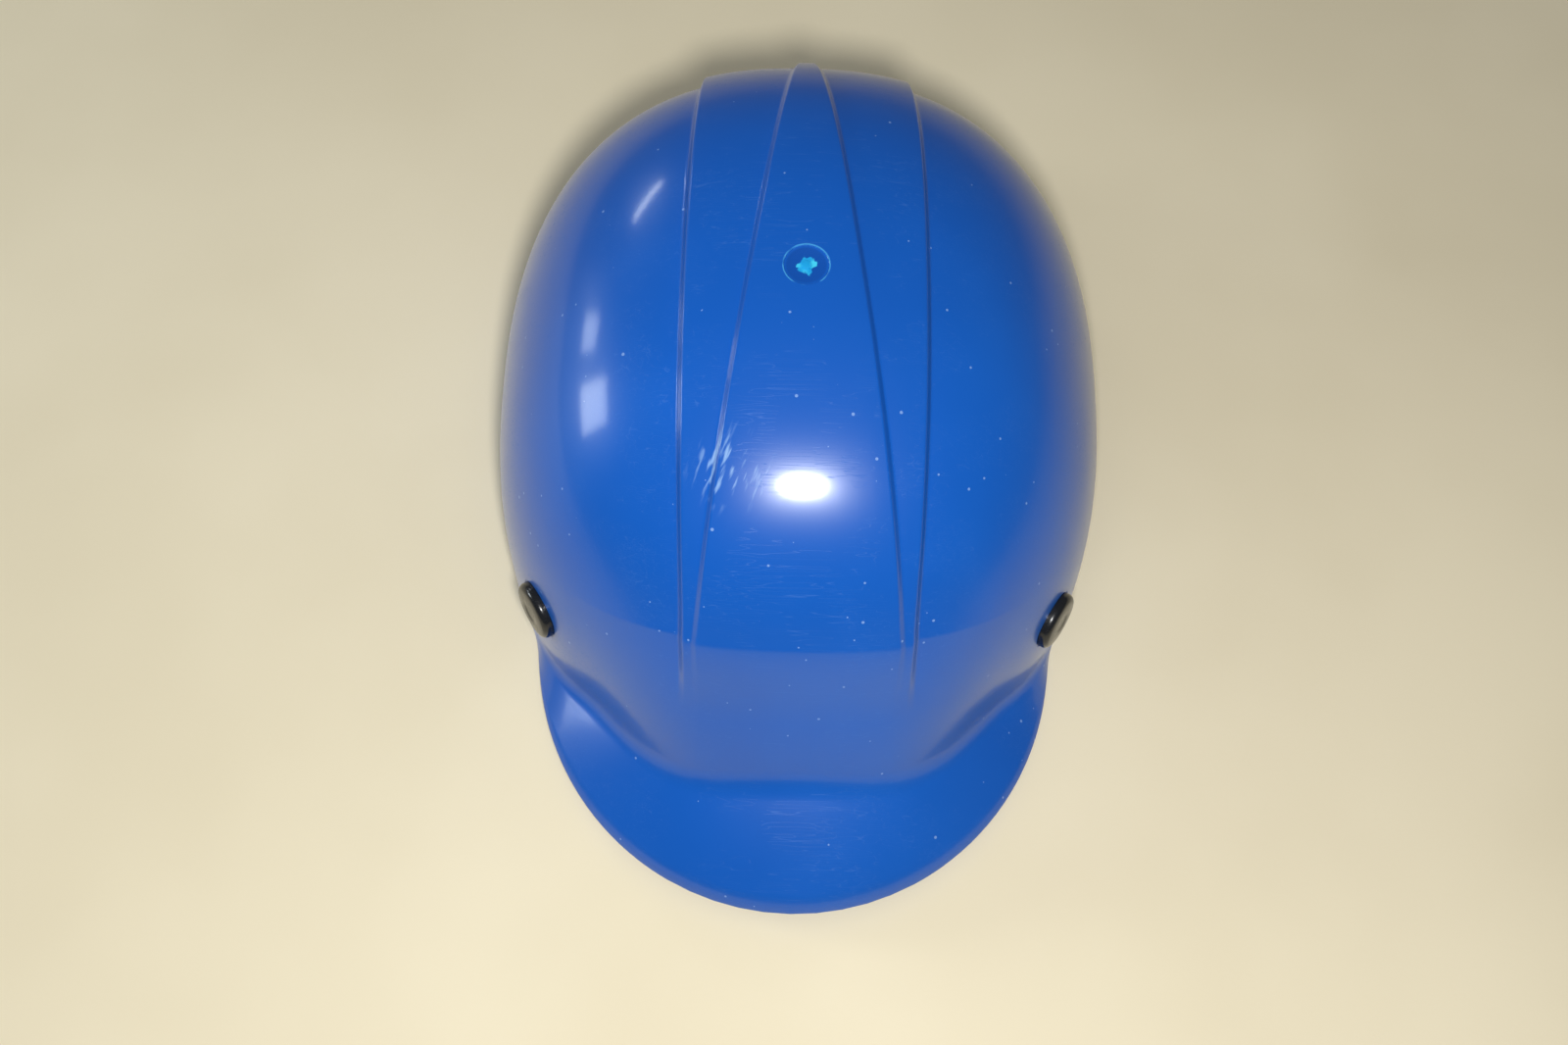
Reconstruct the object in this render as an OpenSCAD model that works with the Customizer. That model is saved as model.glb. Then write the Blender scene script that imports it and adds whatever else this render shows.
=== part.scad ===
// Bump cap: a one-piece moulded shell with a short peak, hung on four studs over a strap cradle,
// with a headband that rides up and down in four keys and a nape strap that slides to fit the head.
// Millimetres. X to the wearer's right, Y to the rear, Z up from the rim, origin under the box centre.

/* [Shell] */
// Half of the dome's width at the rim
dome_half_w = 103; // [98:1:108]
// Reach of the dome in front of its widest place
dome_front = 118; // [112:1:124]
// Reach of the dome behind its widest place
dome_rear = 119; // [113:1:126]
// Height of the plain dome
dome_h = 134; // [126:1:142]
// Squareness of the plan, where 2 is an ellipse
plan_power = 2.4; // [2.2:0.05:2.7]
// Squareness of the rise from the rim to the crown
rise_power = 2.8; // [2.4:0.05:3.1]
// Thickness of the moulded wall
wall = 2.4; // [1.8:0.1:3]

/* [Raised crown] */
// Half width of the raised band at its widest
band_half_w = 35.5; // [28:0.5:42]
// Height of the band above the dome
band_rise = 3; // [1.5:0.1:4]
// Width of the slope at the band's edge
band_slope = 3; // [2:0.1:5]
// Half width of the wedge at the rear rim
wedge_tip_half_w = 3.6; // [3:0.1:8]
// Growth of the wedge's half width with each millimetre towards the front
wedge_flare = 0.136; // [0.1:0.002:0.15]
// Height of the wedge above the band
wedge_rise = 1.8; // [0.8:0.1:3]
// Width of the slope at the wedge's edge
wedge_slope = 1.8; // [1.2:0.1:3]
// Length over which the wedge fades out at the front
wedge_fade = 36; // [24:1:48]
// Height above the rim at which the band starts to fade in front
fade_high = 88; // [82:1:94]

/* [Front wall] */
// Height above the rim at which the front wall starts to lean forward
brow_z = 92; // [86:1:98]
// Growth of the lean with each millimetre down the front wall
brow_lean = 0.36; // [0.28:0.01:0.4]
// Half of the width over which the front wall leans
brow_half_w = 70; // [64:1:72]

/* [Gate mark] */
// Diameter of the round recess at the crown
gate_d = 13.5; // [8:0.5:18]
// Depth of the recess
gate_depth = 0.5; // [0.3:0.1:1]
// Diameter of the gate stub in the recess
gate_stub_d = 3; // [2:0.5:4]
// Place of the recess behind the dome's widest place
gate_y = -2; // [-12:1:12]

/* [Peak] */
// Reach of the peak in front of the dome
peak_reach = 49; // [42:1:56]
// Half of the peak's width
peak_half_w = 90; // [86:1:92]
// Length of the peak's rounded outline
peak_len = 96; // [90:1:103]
// Height of the peak's top edge at the tip
peak_lift = 14; // [10:0.5:16]
// Rise from the peak's edge to its root, for each millimetre of reach
peak_pitch = 0.46; // [0.38:0.01:0.5]
// Radius of the hollow where the peak leaves the dome
root_r = 8; // [6:1:12]

/* [Studs] */
// Height of the four studs above the rim
stud_z = 44; // [40:1:50]
// Front studs' place in front of the dome's widest place
stud_front = 76; // [68:1:80]
// Rear studs' distance to each side
stud_rear_x = 60; // [54:1:64]
// Diameter of a stud's head
stud_head_d = 19.5; // [16:0.5:22]
// Thickness of a stud's head
stud_head_h = 3.6; // [2.5:0.1:5]
// Diameter of a stud's stem
stud_d = 8; // [6:0.5:10]
// Depth of the flat seat that is sunk in the wall under a stud's head
seat_depth = 0.75; // [0.6:0.05:1]
// Clearance round a stud's head in its seat
seat_gap = 0.5; // [0.2:0.1:1]
// Clearance round a stem
stem_gap = 0.2; // [0.1:0.05:0.4]
// Diameter of the retaining cap inside
cap_d = 16; // [13:0.5:18]
// Thickness of the retaining cap
cap_h = 4; // [3:0.5:6]

/* [Keys] */
// Width of a key
key_w = 22; // [19:1:26]
// Thickness of a key
key_t = 2; // [1.6:0.1:3]
// Distance that a key's flat plate stands off the curved wall
key_stand = 1.7; // [1.5:0.1:2.2]
// Height of a key above its stud
key_top = 12; // [10:1:16]
// Depth of a key's shelf below its stud
key_shelf = 13; // [11:1:16]
// Distance that the shelf reaches inwards
key_reach = 12.4; // [10:0.2:15]
// Height of the keys' lower ends above the rim
key_foot = 6; // [4:0.5:9]

/* [Straps] */
// Width of the crown straps
strap_w = 20; // [14:1:24]
// Thickness of the crown straps
strap_t = 1.2; // [0.8:0.1:1.8]
// Height of the upper strap at its top
strap_top = 108; // [98:1:116]
// Gap between the two straps where they cross
strap_gap = 0.8; // [0.5:0.1:1.5]
// Diameter of the crown rivet's stem
rivet_d = 5; // [4:0.5:7]
// Diameter of the crown rivet's head
rivet_head_d = 14; // [10:1:18]
// Thickness of the crown rivet's head and washer
rivet_head_h = 1.8; // [1.2:0.1:3]

/* [Headband] */
// Room at each side from the dome's widest place to the middle of the headband's wall
side_room = 23; // [20:0.5:25]
// Thickness of the headband
headband_t = 1.6; // [1.2:0.1:2.4]
// Height of the headband at the brow
brow_h = 32; // [28:1:36]
// Height of the headband at its sides
side_h = 25; // [22:1:28]
// Height of the headband's lower edge above the rim, at its lowest
headband_z = 3; // [2:0.5:5]
// Travel of the headband up and down in the keys
lift_travel = 8; // [4:1:9]
// Diameter of the lugs that hang the headband in the keys
lug_d = 6; // [5:0.5:7]
// Diameter of a lug's head
lug_head_d = 11; // [9:0.5:13]
// Thickness of a lug's head
lug_head_h = 1.8; // [1.4:0.1:2.6]
// Gap between faces that slide past each other
slide_gap = 0.5; // [0.4:0.1:0.8]
// Thickness of the brow pad
pad_t = 5; // [3:0.5:8]
// Height of the brow pad
pad_h = 27; // [22:1:28]
// Angle that the brow pad spans to each side
pad_span = 58; // [45:1:64]

/* [Nape strap] */
// Thickness of the nape strap
nape_t = 1.6; // [1.2:0.1:2.4]
// Height of the nape strap
nape_h = 20; // [16:1:21]
// Travel of the nape strap from the largest size to the smallest
size_travel = 24; // [12:1:28]
// Diameter of the size knobs' stems
knob_d = 5; // [4:0.5:6]
// Diameter of the size knobs' heads
knob_head_d = 12; // [10:0.5:14]
// Thickness of the size knobs' heads
knob_head_h = 2.4; // [1.6:0.1:3]
// Distance from the knob to the nape strap's front end
nape_end = 10; // [8:1:14]

/* [Hidden] */
$fn = 64;

// Colours
blue = [0.10, 0.32, 0.75];
black = [0.08, 0.08, 0.09];
charcoal = [0.20, 0.21, 0.23];
pad_black = [0.13, 0.13, 0.15];

// The dome's widest place, moved so that the whole part's box is centred on Y = 0
dome_y = (dome_front + peak_reach - dome_rear - band_rise - wedge_rise) / 2;

// ---- Dome -----------------------------------------------------------------------------------

function mix(a, b, t) = a + (b - a) * t;
function ramp(t) = let (c = min(1, max(0, t))) c * c * (3 - 2 * c);
function unit(v) = v / norm(v);
function share(x) = pow(abs(x) / dome_half_w, plan_power);

// A point of the plain dome: across by x, and round from the front rim (0) to the rear rim (180)
function dome_point(x, turn) =
    let (
        total = pow(abs(cos(turn)), plan_power) + pow(sin(turn), rise_power),
        left = max(0, 1 - share(x)) / total,
        reach = cos(turn) > 0 ? dome_front : dome_rear
    )
    [x, -reach * cos(turn) * pow(left, 1 / plan_power), dome_h * sin(turn) * pow(left, 1 / rise_power)];

// The front wall of the dome at a given height
function front_wall(x, z) =
    [x, -dome_front * pow(max(0, 1 - share(x) - pow(z / dome_h, rise_power)), 1 / plan_power), z];

function dome_normal(p) =
    let (reach = p[1] < 0 ? dome_front : dome_rear)
    unit([
        plan_power * sign(p[0]) * pow(abs(p[0]) / dome_half_w, plan_power - 1) / dome_half_w,
        plan_power * sign(p[1]) * pow(abs(p[1]) / reach, plan_power - 1) / reach,
        rise_power * pow(p[2] / dome_h, rise_power - 1) / dome_h
    ]);

// ---- Grid of the shell's outer face ------------------------------------------------------------
// Lines run from the rear rim over the crown to the peak's edge. Line 0 is the middle one, and the
// lines at the wedge's and the band's edges follow those edges, which keeps them crisp.

side_lines = 10;
dome_rows = 37;
wall_rows = 5;
hollow_rows = 5;
peak_rows = 6;
peak_start = 26;
last_row = dome_rows - 1 + wall_rows + hollow_rows + peak_rows;
last_line = 6 + side_lines;

function band_half(y) = band_half_w - 2.4 * pow(abs(y + 5) / 110, 2);
function wedge_half(y) =
    min(wedge_tip_half_w + wedge_flare * (dome_rear - y),
        band_half(y) - band_slope - wedge_slope - 1);

// How far round the side a line lies, from the band's foot (0) to the rim (1)
side_start = 72;
function side_x(turn) =
    cos(turn) / pow(pow(cos(turn), plan_power) + pow(sin(turn), rise_power), 1 / plan_power);
function side_share(k) =
    let (start = side_x(side_start))
    (side_x(side_start * (1 - k / side_lines)) - start) / (1 - start);

function line_x(line, y) =
    let (
        wedge = wedge_half(y),
        band = band_half(y),
        foot = band + band_slope,
        stops = [0, wedge * 0.5, wedge, wedge + wedge_slope,
                 (wedge + wedge_slope + band) / 2, band, foot]
    )
    line < 7 ? stops[line] : mix(foot, dome_half_w, side_share(line - 6));

// The front wall's lean adds to the dome's own slope, first as a curve and then evenly. It is full
// in the middle and dies out towards the sides.
brow_round = 25;
brow_core = 20;
function lean_out(x, z) =
    let (down = max(0, brow_z - z))
    brow_lean * down * down / (down + brow_round) * ramp((brow_half_w - abs(x)) / (brow_half_w - brow_core));

fade_low = dome_point(0, peak_start)[2];
function wedge_level(y) = wedge_rise * ramp((y + dome_front) / wedge_fade);
function line_level(line, y, z) =
    let (fade = y > 0 ? 1 : ramp((z - fade_low) / (fade_high - fade_low)))
    line <= 2 ? (band_rise + wedge_level(y)) * fade : line <= 5 ? band_rise * fade : 0;

function raised(line, turn, side) =
    let (
        middle = dome_point(0, turn),
        p = dome_point(side * min(line_x(line, middle[1]), dome_half_w), turn),
        lean = turn < 90 ? lean_out(p[0], p[2]) : 0
    )
    p + dome_normal(p) * line_level(line, middle[1], middle[2]) + peak_ray(dome_point(p[0], 0)) * lean;

// ---- Peak ------------------------------------------------------------------------------------
// Each line goes on past the dome: down the leaning wall, round the hollow and out over the peak.
// The peak is an arch, whose edge is highest at the tip.
// Rays from a point inside the dome give the peak's reach, which dies out smoothly at the sides.

fan_y = -22;
peak_mid_y = peak_len - dome_front - peak_reach;
peak_fade = 4;
peak_arch = 40;
root_slope = 0.28;

function peak_ray(rim) = unit([rim[0], rim[1] - fan_y, 0]);
function ray_length(ray) =
    let (
        a = pow(ray[0] / peak_half_w, 2) + pow(ray[1] / peak_len, 2),
        b = ray[1] * (fan_y - peak_mid_y) / pow(peak_len, 2),
        c = pow((fan_y - peak_mid_y) / peak_len, 2) - 1
    )
    (-b + sqrt(max(0, b * b - a * c))) / a;
function soft_reach(r) =
    r <= -peak_fade ? 0 : r >= peak_fade ? r : pow(r + peak_fade, 2) / (4 * peak_fade);
function reach_at(rim) = soft_reach(ray_length(peak_ray(rim)) - norm([rim[0], rim[1] - fan_y]));

// Outward distance and height along one line, for row k past the dome
function peak_profile(reach, top, k) =
    let (
        edge_z = peak_lift * reach / (reach + peak_arch) * (1 + peak_arch / peak_reach),
        root_z = edge_z + peak_pitch * reach,
        hollow = root_r * reach / (reach + 18),
        t = (k - wall_rows) / hollow_rows,
        s = (k - wall_rows - hollow_rows) / peak_rows,
        r1 = hollow,
        z1 = root_z - root_slope * hollow,
        rc = mix(hollow, reach, 0.5),
        zc = root_z - root_slope * rc
    )
    k <= wall_rows ? [0, mix(top, root_z + hollow, k / wall_rows)]
    : t <= 1 ? [t * t * r1, (1 - t) * (1 - t) * (root_z + hollow) + 2 * t * (1 - t) * root_z + t * t * z1]
    : [(1 - s) * (1 - s) * r1 + 2 * s * (1 - s) * rc + s * s * reach,
       (1 - s) * (1 - s) * z1 + 2 * s * (1 - s) * zc + s * s * edge_z];

function peak_point(line, k, side) =
    let (
        x = side * min(line_x(line, -dome_front), dome_half_w),
        rim = dome_point(x, 0),
        top = dome_point(x, peak_start)[2],
        reach = reach_at(rim),
        share_of_peak = reach / (reach + 3) * (1 + 3 / peak_reach),
        total = wall_rows + hollow_rows + peak_rows,
        rz = peak_profile(reach, top, k),
        z = max(0, mix(top * (1 - k / total), rz[1], share_of_peak)),
        lean = lean_out(x, z) * (1 - rz[0] / max(1, reach))
    )
    front_wall(x, z) + peak_ray(rim) * (rz[0] * share_of_peak + lean);

function outer_point(line, row, side) =
    row < dome_rows
    ? raised(line, mix(180, peak_start, row / (dome_rows - 1)), side)
    : peak_point(line, row - dome_rows + 1, side);

// ---- Shell body ---------------------------------------------------------------------------------
// Outer and inner grids share one layout. The two end lines shrink to a point on the rim.

lines = 2 * last_line;
outer_grid = [
    for (i = [0:lines])
        [for (j = [0:last_row]) outer_point(abs(i - last_line), j, i < last_line ? -1 : 1)]
];

function grid_normal(i, j) =
    let (
        across = outer_grid[i + 1][j] - outer_grid[i - 1][j],
        along = outer_grid[i][min(j + 1, last_row)] - outer_grid[i][max(j - 1, 0)]
    )
    unit(cross(along, across));
function inner_point(i, j) =
    let (p = outer_grid[i][j], q = p - wall * grid_normal(i, j))
    j == 0 || p[2] < 0.001 ? [q[0], q[1], 0] : [q[0], q[1], max(q[2], 0)];

function outer_points() = [for (i = [1:lines - 1]) for (j = [0:last_row]) outer_grid[i][j]];
function inner_points() = [for (i = [1:lines - 1]) for (j = [0:last_row]) inner_point(i, j)];

module plain_shell() {
    count = (lines - 1) * (last_row + 1);
    poles = 2 * count;
    points = concat(
        outer_points(), inner_points(),
        [[-dome_half_w, 0, 0], [dome_half_w, 0, 0], [wall - dome_half_w, 0, 0], [dome_half_w - wall, 0, 0]]
    );
    function at(i, j) =
        i == 0 ? poles : i == lines ? poles + 1 : (i - 1) * (last_row + 1) + j;
    function under(i, j) =
        i == 0 ? poles + 2 : i == lines ? poles + 3 : count + (i - 1) * (last_row + 1) + j;
    skin = [
        for (i = [0:lines - 1]) for (j = [0:last_row - 1])
            each i == 0
                ? [[at(0, 0), at(1, j + 1), at(1, j)], [under(0, 0), under(1, j), under(1, j + 1)]]
            : i == lines - 1
                ? [[at(i, j), at(i, j + 1), at(lines, 0)], [under(i, j), under(lines, 0), under(i, j + 1)]]
            : [
                [at(i, j), at(i, j + 1), at(i + 1, j + 1)],
                [at(i, j), at(i + 1, j + 1), at(i + 1, j)],
                [under(i, j), under(i + 1, j + 1), under(i, j + 1)],
                [under(i, j), under(i + 1, j), under(i + 1, j + 1)]
            ]
    ];
    rim = [
        for (i = [0:lines - 1])
            each [
                [at(i, 0), at(i + 1, 0), under(i + 1, 0)],
                [at(i, 0), under(i + 1, 0), under(i, 0)],
                [at(i, last_row), under(i + 1, last_row), at(i + 1, last_row)],
                [at(i, last_row), under(i, last_row), under(i + 1, last_row)]
            ]
    ];
    polyhedron(points = points, faces = concat(skin, rim), convexity = 8);
}

// ---- Stud seats ------------------------------------------------------------------------------
// A seat's frame has its origin on the dome's outer face, X outwards, Y along the wall and Z up.

level_left = 1 - pow(stud_z / dome_h, rise_power);
front_seat = [dome_half_w * pow(level_left - pow(stud_front / dome_front, plan_power), 1 / plan_power),
              -stud_front];
rear_seat = [stud_rear_x, dome_rear * pow(level_left - share(stud_rear_x), 1 / plan_power)];

function seat_normal(seat) = dome_normal([seat[0], seat[1], stud_z]);
function seat_turn(seat) = let (n = seat_normal(seat)) atan2(n[1], n[0]);
front_turn = seat_turn(front_seat);
rear_turn = seat_turn(rear_seat);
front_lean = asin(seat_normal(front_seat)[2]);
rear_lean = asin(seat_normal(rear_seat)[2]);

module place(seat, turn, side) {
    translate([0, dome_y, 0])
        mirror([side < 0 ? 1 : 0, 0, 0])
            translate([seat[0], seat[1], 0])
                rotate([0, 0, turn])
                    children();
}
module at_front(side) { place(front_seat, front_turn, side) children(); }
module at_rear(side) { place(rear_seat, rear_turn, side) children(); }
// The same frame moved up to the stud and leant with the wall, so that X is the wall's normal
module on_wall(lean) {
    translate([0, 0, stud_z])
        rotate([0, -lean, 0])
            children();
}
module on_front(side) { at_front(side) on_wall(front_lean) children(); }
module on_rear(side) { at_rear(side) on_wall(rear_lean) children(); }
module on_all() {
    for (side = [-1, 1]) {
        on_front(side) children();
        on_rear(side) children();
    }
}
// A cylinder that lies along the X axis at a given height
module stem(d, from, to, z = 0) {
    translate([from, 0, z])
        rotate([0, 90, 0])
            cylinder(d = d, h = to - from);
}

stud_hole_d = stud_d + 2 * stem_gap;
key_out = -wall - key_stand;
key_face = key_out - key_t;
strap_face = key_face - strap_t;

crown_z = dome_h + band_rise + wedge_rise;

module shell() {
    color(blue)
        difference() {
            translate([0, dome_y, 0])
                plain_shell();
            on_all() {
                stem(stud_hole_d, -wall - 4, 1);
                stem(stud_head_d + 2 * seat_gap, -seat_depth, stud_head_h);
            }
            translate([0, dome_y + gate_y, crown_z - gate_depth])
                difference() {
                    cylinder(d = gate_d, h = 10);
                    cylinder(d = gate_stub_d, h = gate_depth * 0.9);
                }
        }
}

// A stud: a round head with a softened edge, and a stem that goes through boss, key and strap
module stud() {
    soft = stud_head_h * 0.6;
    stem_len = cap_h * 0.6 - strap_face - seat_depth;
    color(black)
        translate([-seat_depth, 0, 0])
            rotate([0, 90, 0])
                rotate_extrude()
                    union() {
                        translate([0, -stem_len])
                            square([stud_d / 2, stem_len]);
                        square([stud_head_d / 2, stud_head_h - soft]);
                        square([stud_head_d / 2 - soft, stud_head_h]);
                        translate([stud_head_d / 2 - soft, stud_head_h - soft])
                            intersection() {
                                circle(r = soft);
                                square(soft);
                            }
                    }
}

// The cap that closes on the stem inside, over the strap's end
module cap() {
    color(black)
        difference() {
            union() {
                stem(cap_d, strap_face - cap_h * 0.5, strap_face);
                stem(cap_d - 4, strap_face - cap_h, strap_face);
            }
            stem(stud_hole_d, strap_face - cap_h * 0.7, strap_face + 1);
        }
}

// ---- Keys --------------------------------------------------------------------------------------

// Middle height of the lugs with the headband at its lowest
lug_z = headband_z + side_h / 2;
key_back = key_face - key_reach;
rail_in = key_back;
rail_out = key_back + key_t;

module key(lean) {
    shelf_z = stud_z - key_shelf;
    plate_z = shelf_z + key_t * 0.3;
    plate_drop = (stud_z - plate_z + key_face * sin(lean)) / cos(lean);
    shelf_out = key_face + (stud_z - plate_z) * tan(lean) + key_t * 0.6;
    arm_w = key_w - 3;
    color(charcoal)
        difference() {
            union() {
                on_wall(lean) {
                    translate([key_face, -key_w / 2, -plate_drop])
                        cube([key_t, key_w, plate_drop + key_top - key_w / 2]);
                    stem(key_w, key_face, key_out, key_top - key_w / 2);
                    stem(stud_d * 1.5, key_out - 0.1, -wall - key_stand * 0.5);
                }
                translate([rail_in, -arm_w / 2, shelf_z])
                    cube([shelf_out - rail_in, arm_w, key_t]);
                translate([rail_in, -arm_w / 2, key_foot])
                    cube([key_t, arm_w, shelf_z + key_t - key_foot]);
                for (y = [-arm_w / 2, arm_w / 2 - key_t])
                    translate([rail_in, y, shelf_z])
                        rotate([-90, 0, 0])
                            linear_extrude(key_t)
                                polygon([
                                    [0, -key_t], [key_reach, -key_t], [key_reach, 0], [0, key_reach * 0.6]
                                ]);
            }
            on_wall(lean)
                stem(stud_hole_d, key_face - 1, 0);
            lug_slot();
        }
}
// The upright slot that the lug rides in
module lug_slot() {
    d = lug_d + slide_gap;
    low = lug_z - slide_gap / 2;
    high = lug_z + lift_travel + slide_gap / 2;
    stem(d, rail_in - 1, rail_out + 1, low);
    stem(d, rail_in - 1, rail_out + 1, high);
    translate([rail_in - 1, -d / 2, low])
        cube([key_t + 2, d, high - low]);
}

// ---- Headband path ---------------------------------------------------------------------------
// Half ellipses in front and behind, joined by straight sides. Each is laid so that it runs square
// past the keys, a sliding gap inside them.

headband_half_w = dome_half_w - side_room;
band_out = rail_in - slide_gap;
function seat_point(seat, turn, out) = [seat[0] + out * cos(turn), seat[1] + out * sin(turn)];
front_lug = seat_point(front_seat, front_turn, band_out);
rear_lug = seat_point(rear_seat, rear_turn, band_out);
band_half_out = headband_half_w + headband_t / 2;

function arc_len(lug, turn) =
    let (k = lug[0] / band_half_out)
    sqrt(1 - k * k) * band_half_out / (abs(tan(turn)) * k);
function arc_mid(lug, turn) =
    let (k = lug[0] / band_half_out)
    lug[1] - sign(lug[1]) * sqrt(1 - k * k) * arc_len(lug, turn);
front_len = arc_len(front_lug, front_turn);
front_mid = arc_mid(front_lug, front_turn);
rear_len = arc_len(rear_lug, rear_turn);
rear_mid = arc_mid(rear_lug, rear_turn);

// A point of the path: turn 0 at the brow, 90 at the right side, 180 at the nape
function path_point(turn, inset) =
    let (
        front = cos(turn) > 0,
        len = front ? front_len : rear_len,
        n = unit([len * sin(turn), -band_half_out * cos(turn)])
    )
    [band_half_out * sin(turn), (front ? front_mid : rear_mid) - len * cos(turn)] - n * inset;

function path_run(from, to, inset, step = 3) =
    let (n = ceil(abs(to - from) / step))
    [for (k = [0:n]) path_point(mix(from, to, k / n), inset)];

// A strip of the path between two turns, over the front, standing from z 0 up to high
module strip(turns, inset, thick, high) {
    linear_extrude(high)
        polygon(concat(turns(inset), reversed(turns(inset + thick))));
}
function reversed(list) = [for (k = [len(list) - 1:-1:0]) list[k]];

headband_end = 152;
function headband_run(inset) =
    concat(
        path_run(-headband_end, -90.01, inset),
        path_run(-89.99, 89.99, inset),
        path_run(90.01, headband_end, inset)
    );

module headband() {
    color(charcoal)
        translate([0, 0, headband_z])
            difference() {
                intersection() {
                    translate([0, dome_y, 0])
                        strip(function (inset) headband_run(inset), 0, headband_t, brow_h);
                    headband_outline();
                }
                for (side = [-1, 1]) {
                    at_front(side)
                        stem(lug_d + 2 * stem_gap, band_out - 4, band_out + 3, lug_z - headband_z);
                    at_rear(side)
                        stem(lug_d + 2 * stem_gap, band_out - 4, band_out + 3, lug_z - headband_z);
                    knob_slot(side);
                }
            }
}
// Side view of the headband: high at the brow, lower along the sides
module headband_outline() {
    reach = dome_front + 10;
    rise = [for (k = [0:12]) [mix(-30, -75, k / 12), mix(side_h, brow_h, ramp(k / 12))]];
    translate([-reach, dome_y, 0])
        rotate([90, 0, 90])
            linear_extrude(2 * reach)
                polygon(concat([[-reach, 0], [reach, 0], [reach, side_h]], rise, [[-reach, brow_h]]));
}
knob_y = rear_mid - 4;
knob_z = headband_z + side_h / 2;
module knob_slot(side) {
    d = knob_d + slide_gap;
    x = side * headband_half_w;
    for (y = [knob_y, knob_y - size_travel])
        translate([x, y + dome_y, knob_z - headband_z])
            rotate([0, 90, 0])
                cylinder(d = d, h = 10, center = true);
    translate([x - 5, knob_y - size_travel + dome_y, knob_z - headband_z - d / 2])
        cube([10, size_travel, d]);
}

// A lug: head outside the key, stem through the slot and the headband, and a flange inside
module lug() {
    inner = band_out - headband_t;
    color(black)
        union() {
            stem(lug_head_d, rail_out + slide_gap * 0.7, rail_out + slide_gap * 0.7 + lug_head_h, lug_z);
            stem(lug_d, inner, rail_out + slide_gap * 0.7 + 0.1, lug_z);
        }
}

pad_inset = headband_t + 0.3;
module brow_pad() {
    color(pad_black)
        translate([0, dome_y, headband_z + (brow_h - pad_h) / 2])
            strip(function (inset) path_run(-pad_span, pad_span, inset), pad_inset, pad_t, pad_h);
}

// ---- Nape strap ----------------------------------------------------------------------------------

nape_inset = headband_t + slide_gap;
nape_z = knob_z - nape_h / 2;
function nape_run(inset) =
    let (x = band_half_out - inset, y = knob_y - nape_end)
    concat([[x, y]], path_run(90.01, 269.99, inset), [[-x, y]]);

module nape_strap() {
    color(charcoal)
        difference() {
            translate([0, dome_y, nape_z])
                strip(function (inset) nape_run(inset), nape_inset, nape_t, nape_h);
            for (side = [-1, 1])
                translate([side * headband_half_w, knob_y + dome_y, knob_z])
                    rotate([0, 90, 0])
                        cylinder(d = knob_d + 2 * stem_gap, h = 12, center = true);
        }
}
module knob(side) {
    head = band_half_out + slide_gap * 0.7;
    inner = band_half_out - nape_inset - nape_t;
    color(black)
        translate([0, knob_y + dome_y, knob_z])
            rotate([0, 90 * side, 0])
                union() {
                    translate([0, 0, inner])
                        cylinder(d = knob_d, h = head - inner + 0.1);
                    translate([0, 0, head])
                        cylinder(d = knob_head_d, h = knob_head_h);
                }
}

// ---- Crown straps ------------------------------------------------------------------------------

// A ribbon through a list of [middle, across] pairs, flat across and square to its own run
module ribbon(path, wide, thick) {
    n = len(path);
    function run(k) = unit(path[min(k + 1, n - 1)][0] - path[max(k - 1, 0)][0]);
    rings = [
        for (k = [0:n - 1])
            let (m = path[k][0], a = path[k][1], up = unit(cross(run(k), a)))
            each [
                m - a * wide / 2 - up * thick / 2, m + a * wide / 2 - up * thick / 2,
                m + a * wide / 2 + up * thick / 2, m - a * wide / 2 + up * thick / 2
            ]
    ];
    faces = [
        for (k = [0:n - 2]) for (c = [0:3])
            let (d = (c + 1) % 4, p = 4 * k)
            each [[p + c, p + d, p + 4 + d], [p + c, p + 4 + d, p + 4 + c]]
    ];
    ends = [[3, 2, 1, 0], [4 * n - 4, 4 * n - 3, 4 * n - 2, 4 * n - 1]];
    polyhedron(points = rings, faces = concat(faces, ends));
}

strap_tail = 10;
strap_out = key_face - strap_t / 2;
function mirrored(p, side) = [side * p[0], p[1], p[2]];
// A point over a seat's key: up the leaning wall by so much
function over_key(seat, turn, lean, up) =
    let (out = strap_out * cos(lean) - up * sin(lean))
    [seat[0] + out * cos(turn), seat[1] + out * sin(turn), stud_z + strap_out * sin(lean) + up * cos(lean)];

// The straps leave the keys here, and both are highest where they cross
front_top = over_key(front_seat, front_turn, front_lean, key_top + 3);
rear_top = over_key(rear_seat, rear_turn, rear_lean, key_top + 3);
cross_t = front_top[0] / (front_top[0] + rear_top[0]);
cross_y = mix(front_top[1], rear_top[1], cross_t);
function strap_rise(t) =
    let (off = abs(t < cross_t ? (cross_t - t) / cross_t : (t - cross_t) / (1 - cross_t)))
    pow(1 - pow(min(1, off), 2.2), 1 / 1.4);

// The strap from the front seat on one side to the rear seat on the other
function strap_path(side, top) =
    let (
        front = [for (up = [-strap_tail, 0, key_top])
            mirrored(over_key(front_seat, front_turn, front_lean, up), side)],
        rear = [for (up = [-strap_tail, 0, key_top])
            mirrored(over_key(rear_seat, rear_turn, rear_lean, up), -side)],
        across_front = [-side * sin(front_turn), cos(front_turn), 0] * side,
        across_rear = [side * sin(rear_turn), cos(rear_turn), 0] * side,
        a = mirrored(front_top, side),
        b = mirrored(rear_top, -side),
        steps = 30
    )
    concat(
        [for (p = front) [p, across_front]],
        [
            for (k = [0:steps])
                let (t = (1 - cos(180 * k / steps)) / 2, base = mix(a, b, t))
                [[base[0], base[1], mix(base[2], top, strap_rise(t))],
                 unit(mix(across_front, -across_rear, ramp(t)))]
        ],
        [for (k = [2, 1, 0]) [rear[k], -across_rear]]
    );

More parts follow.
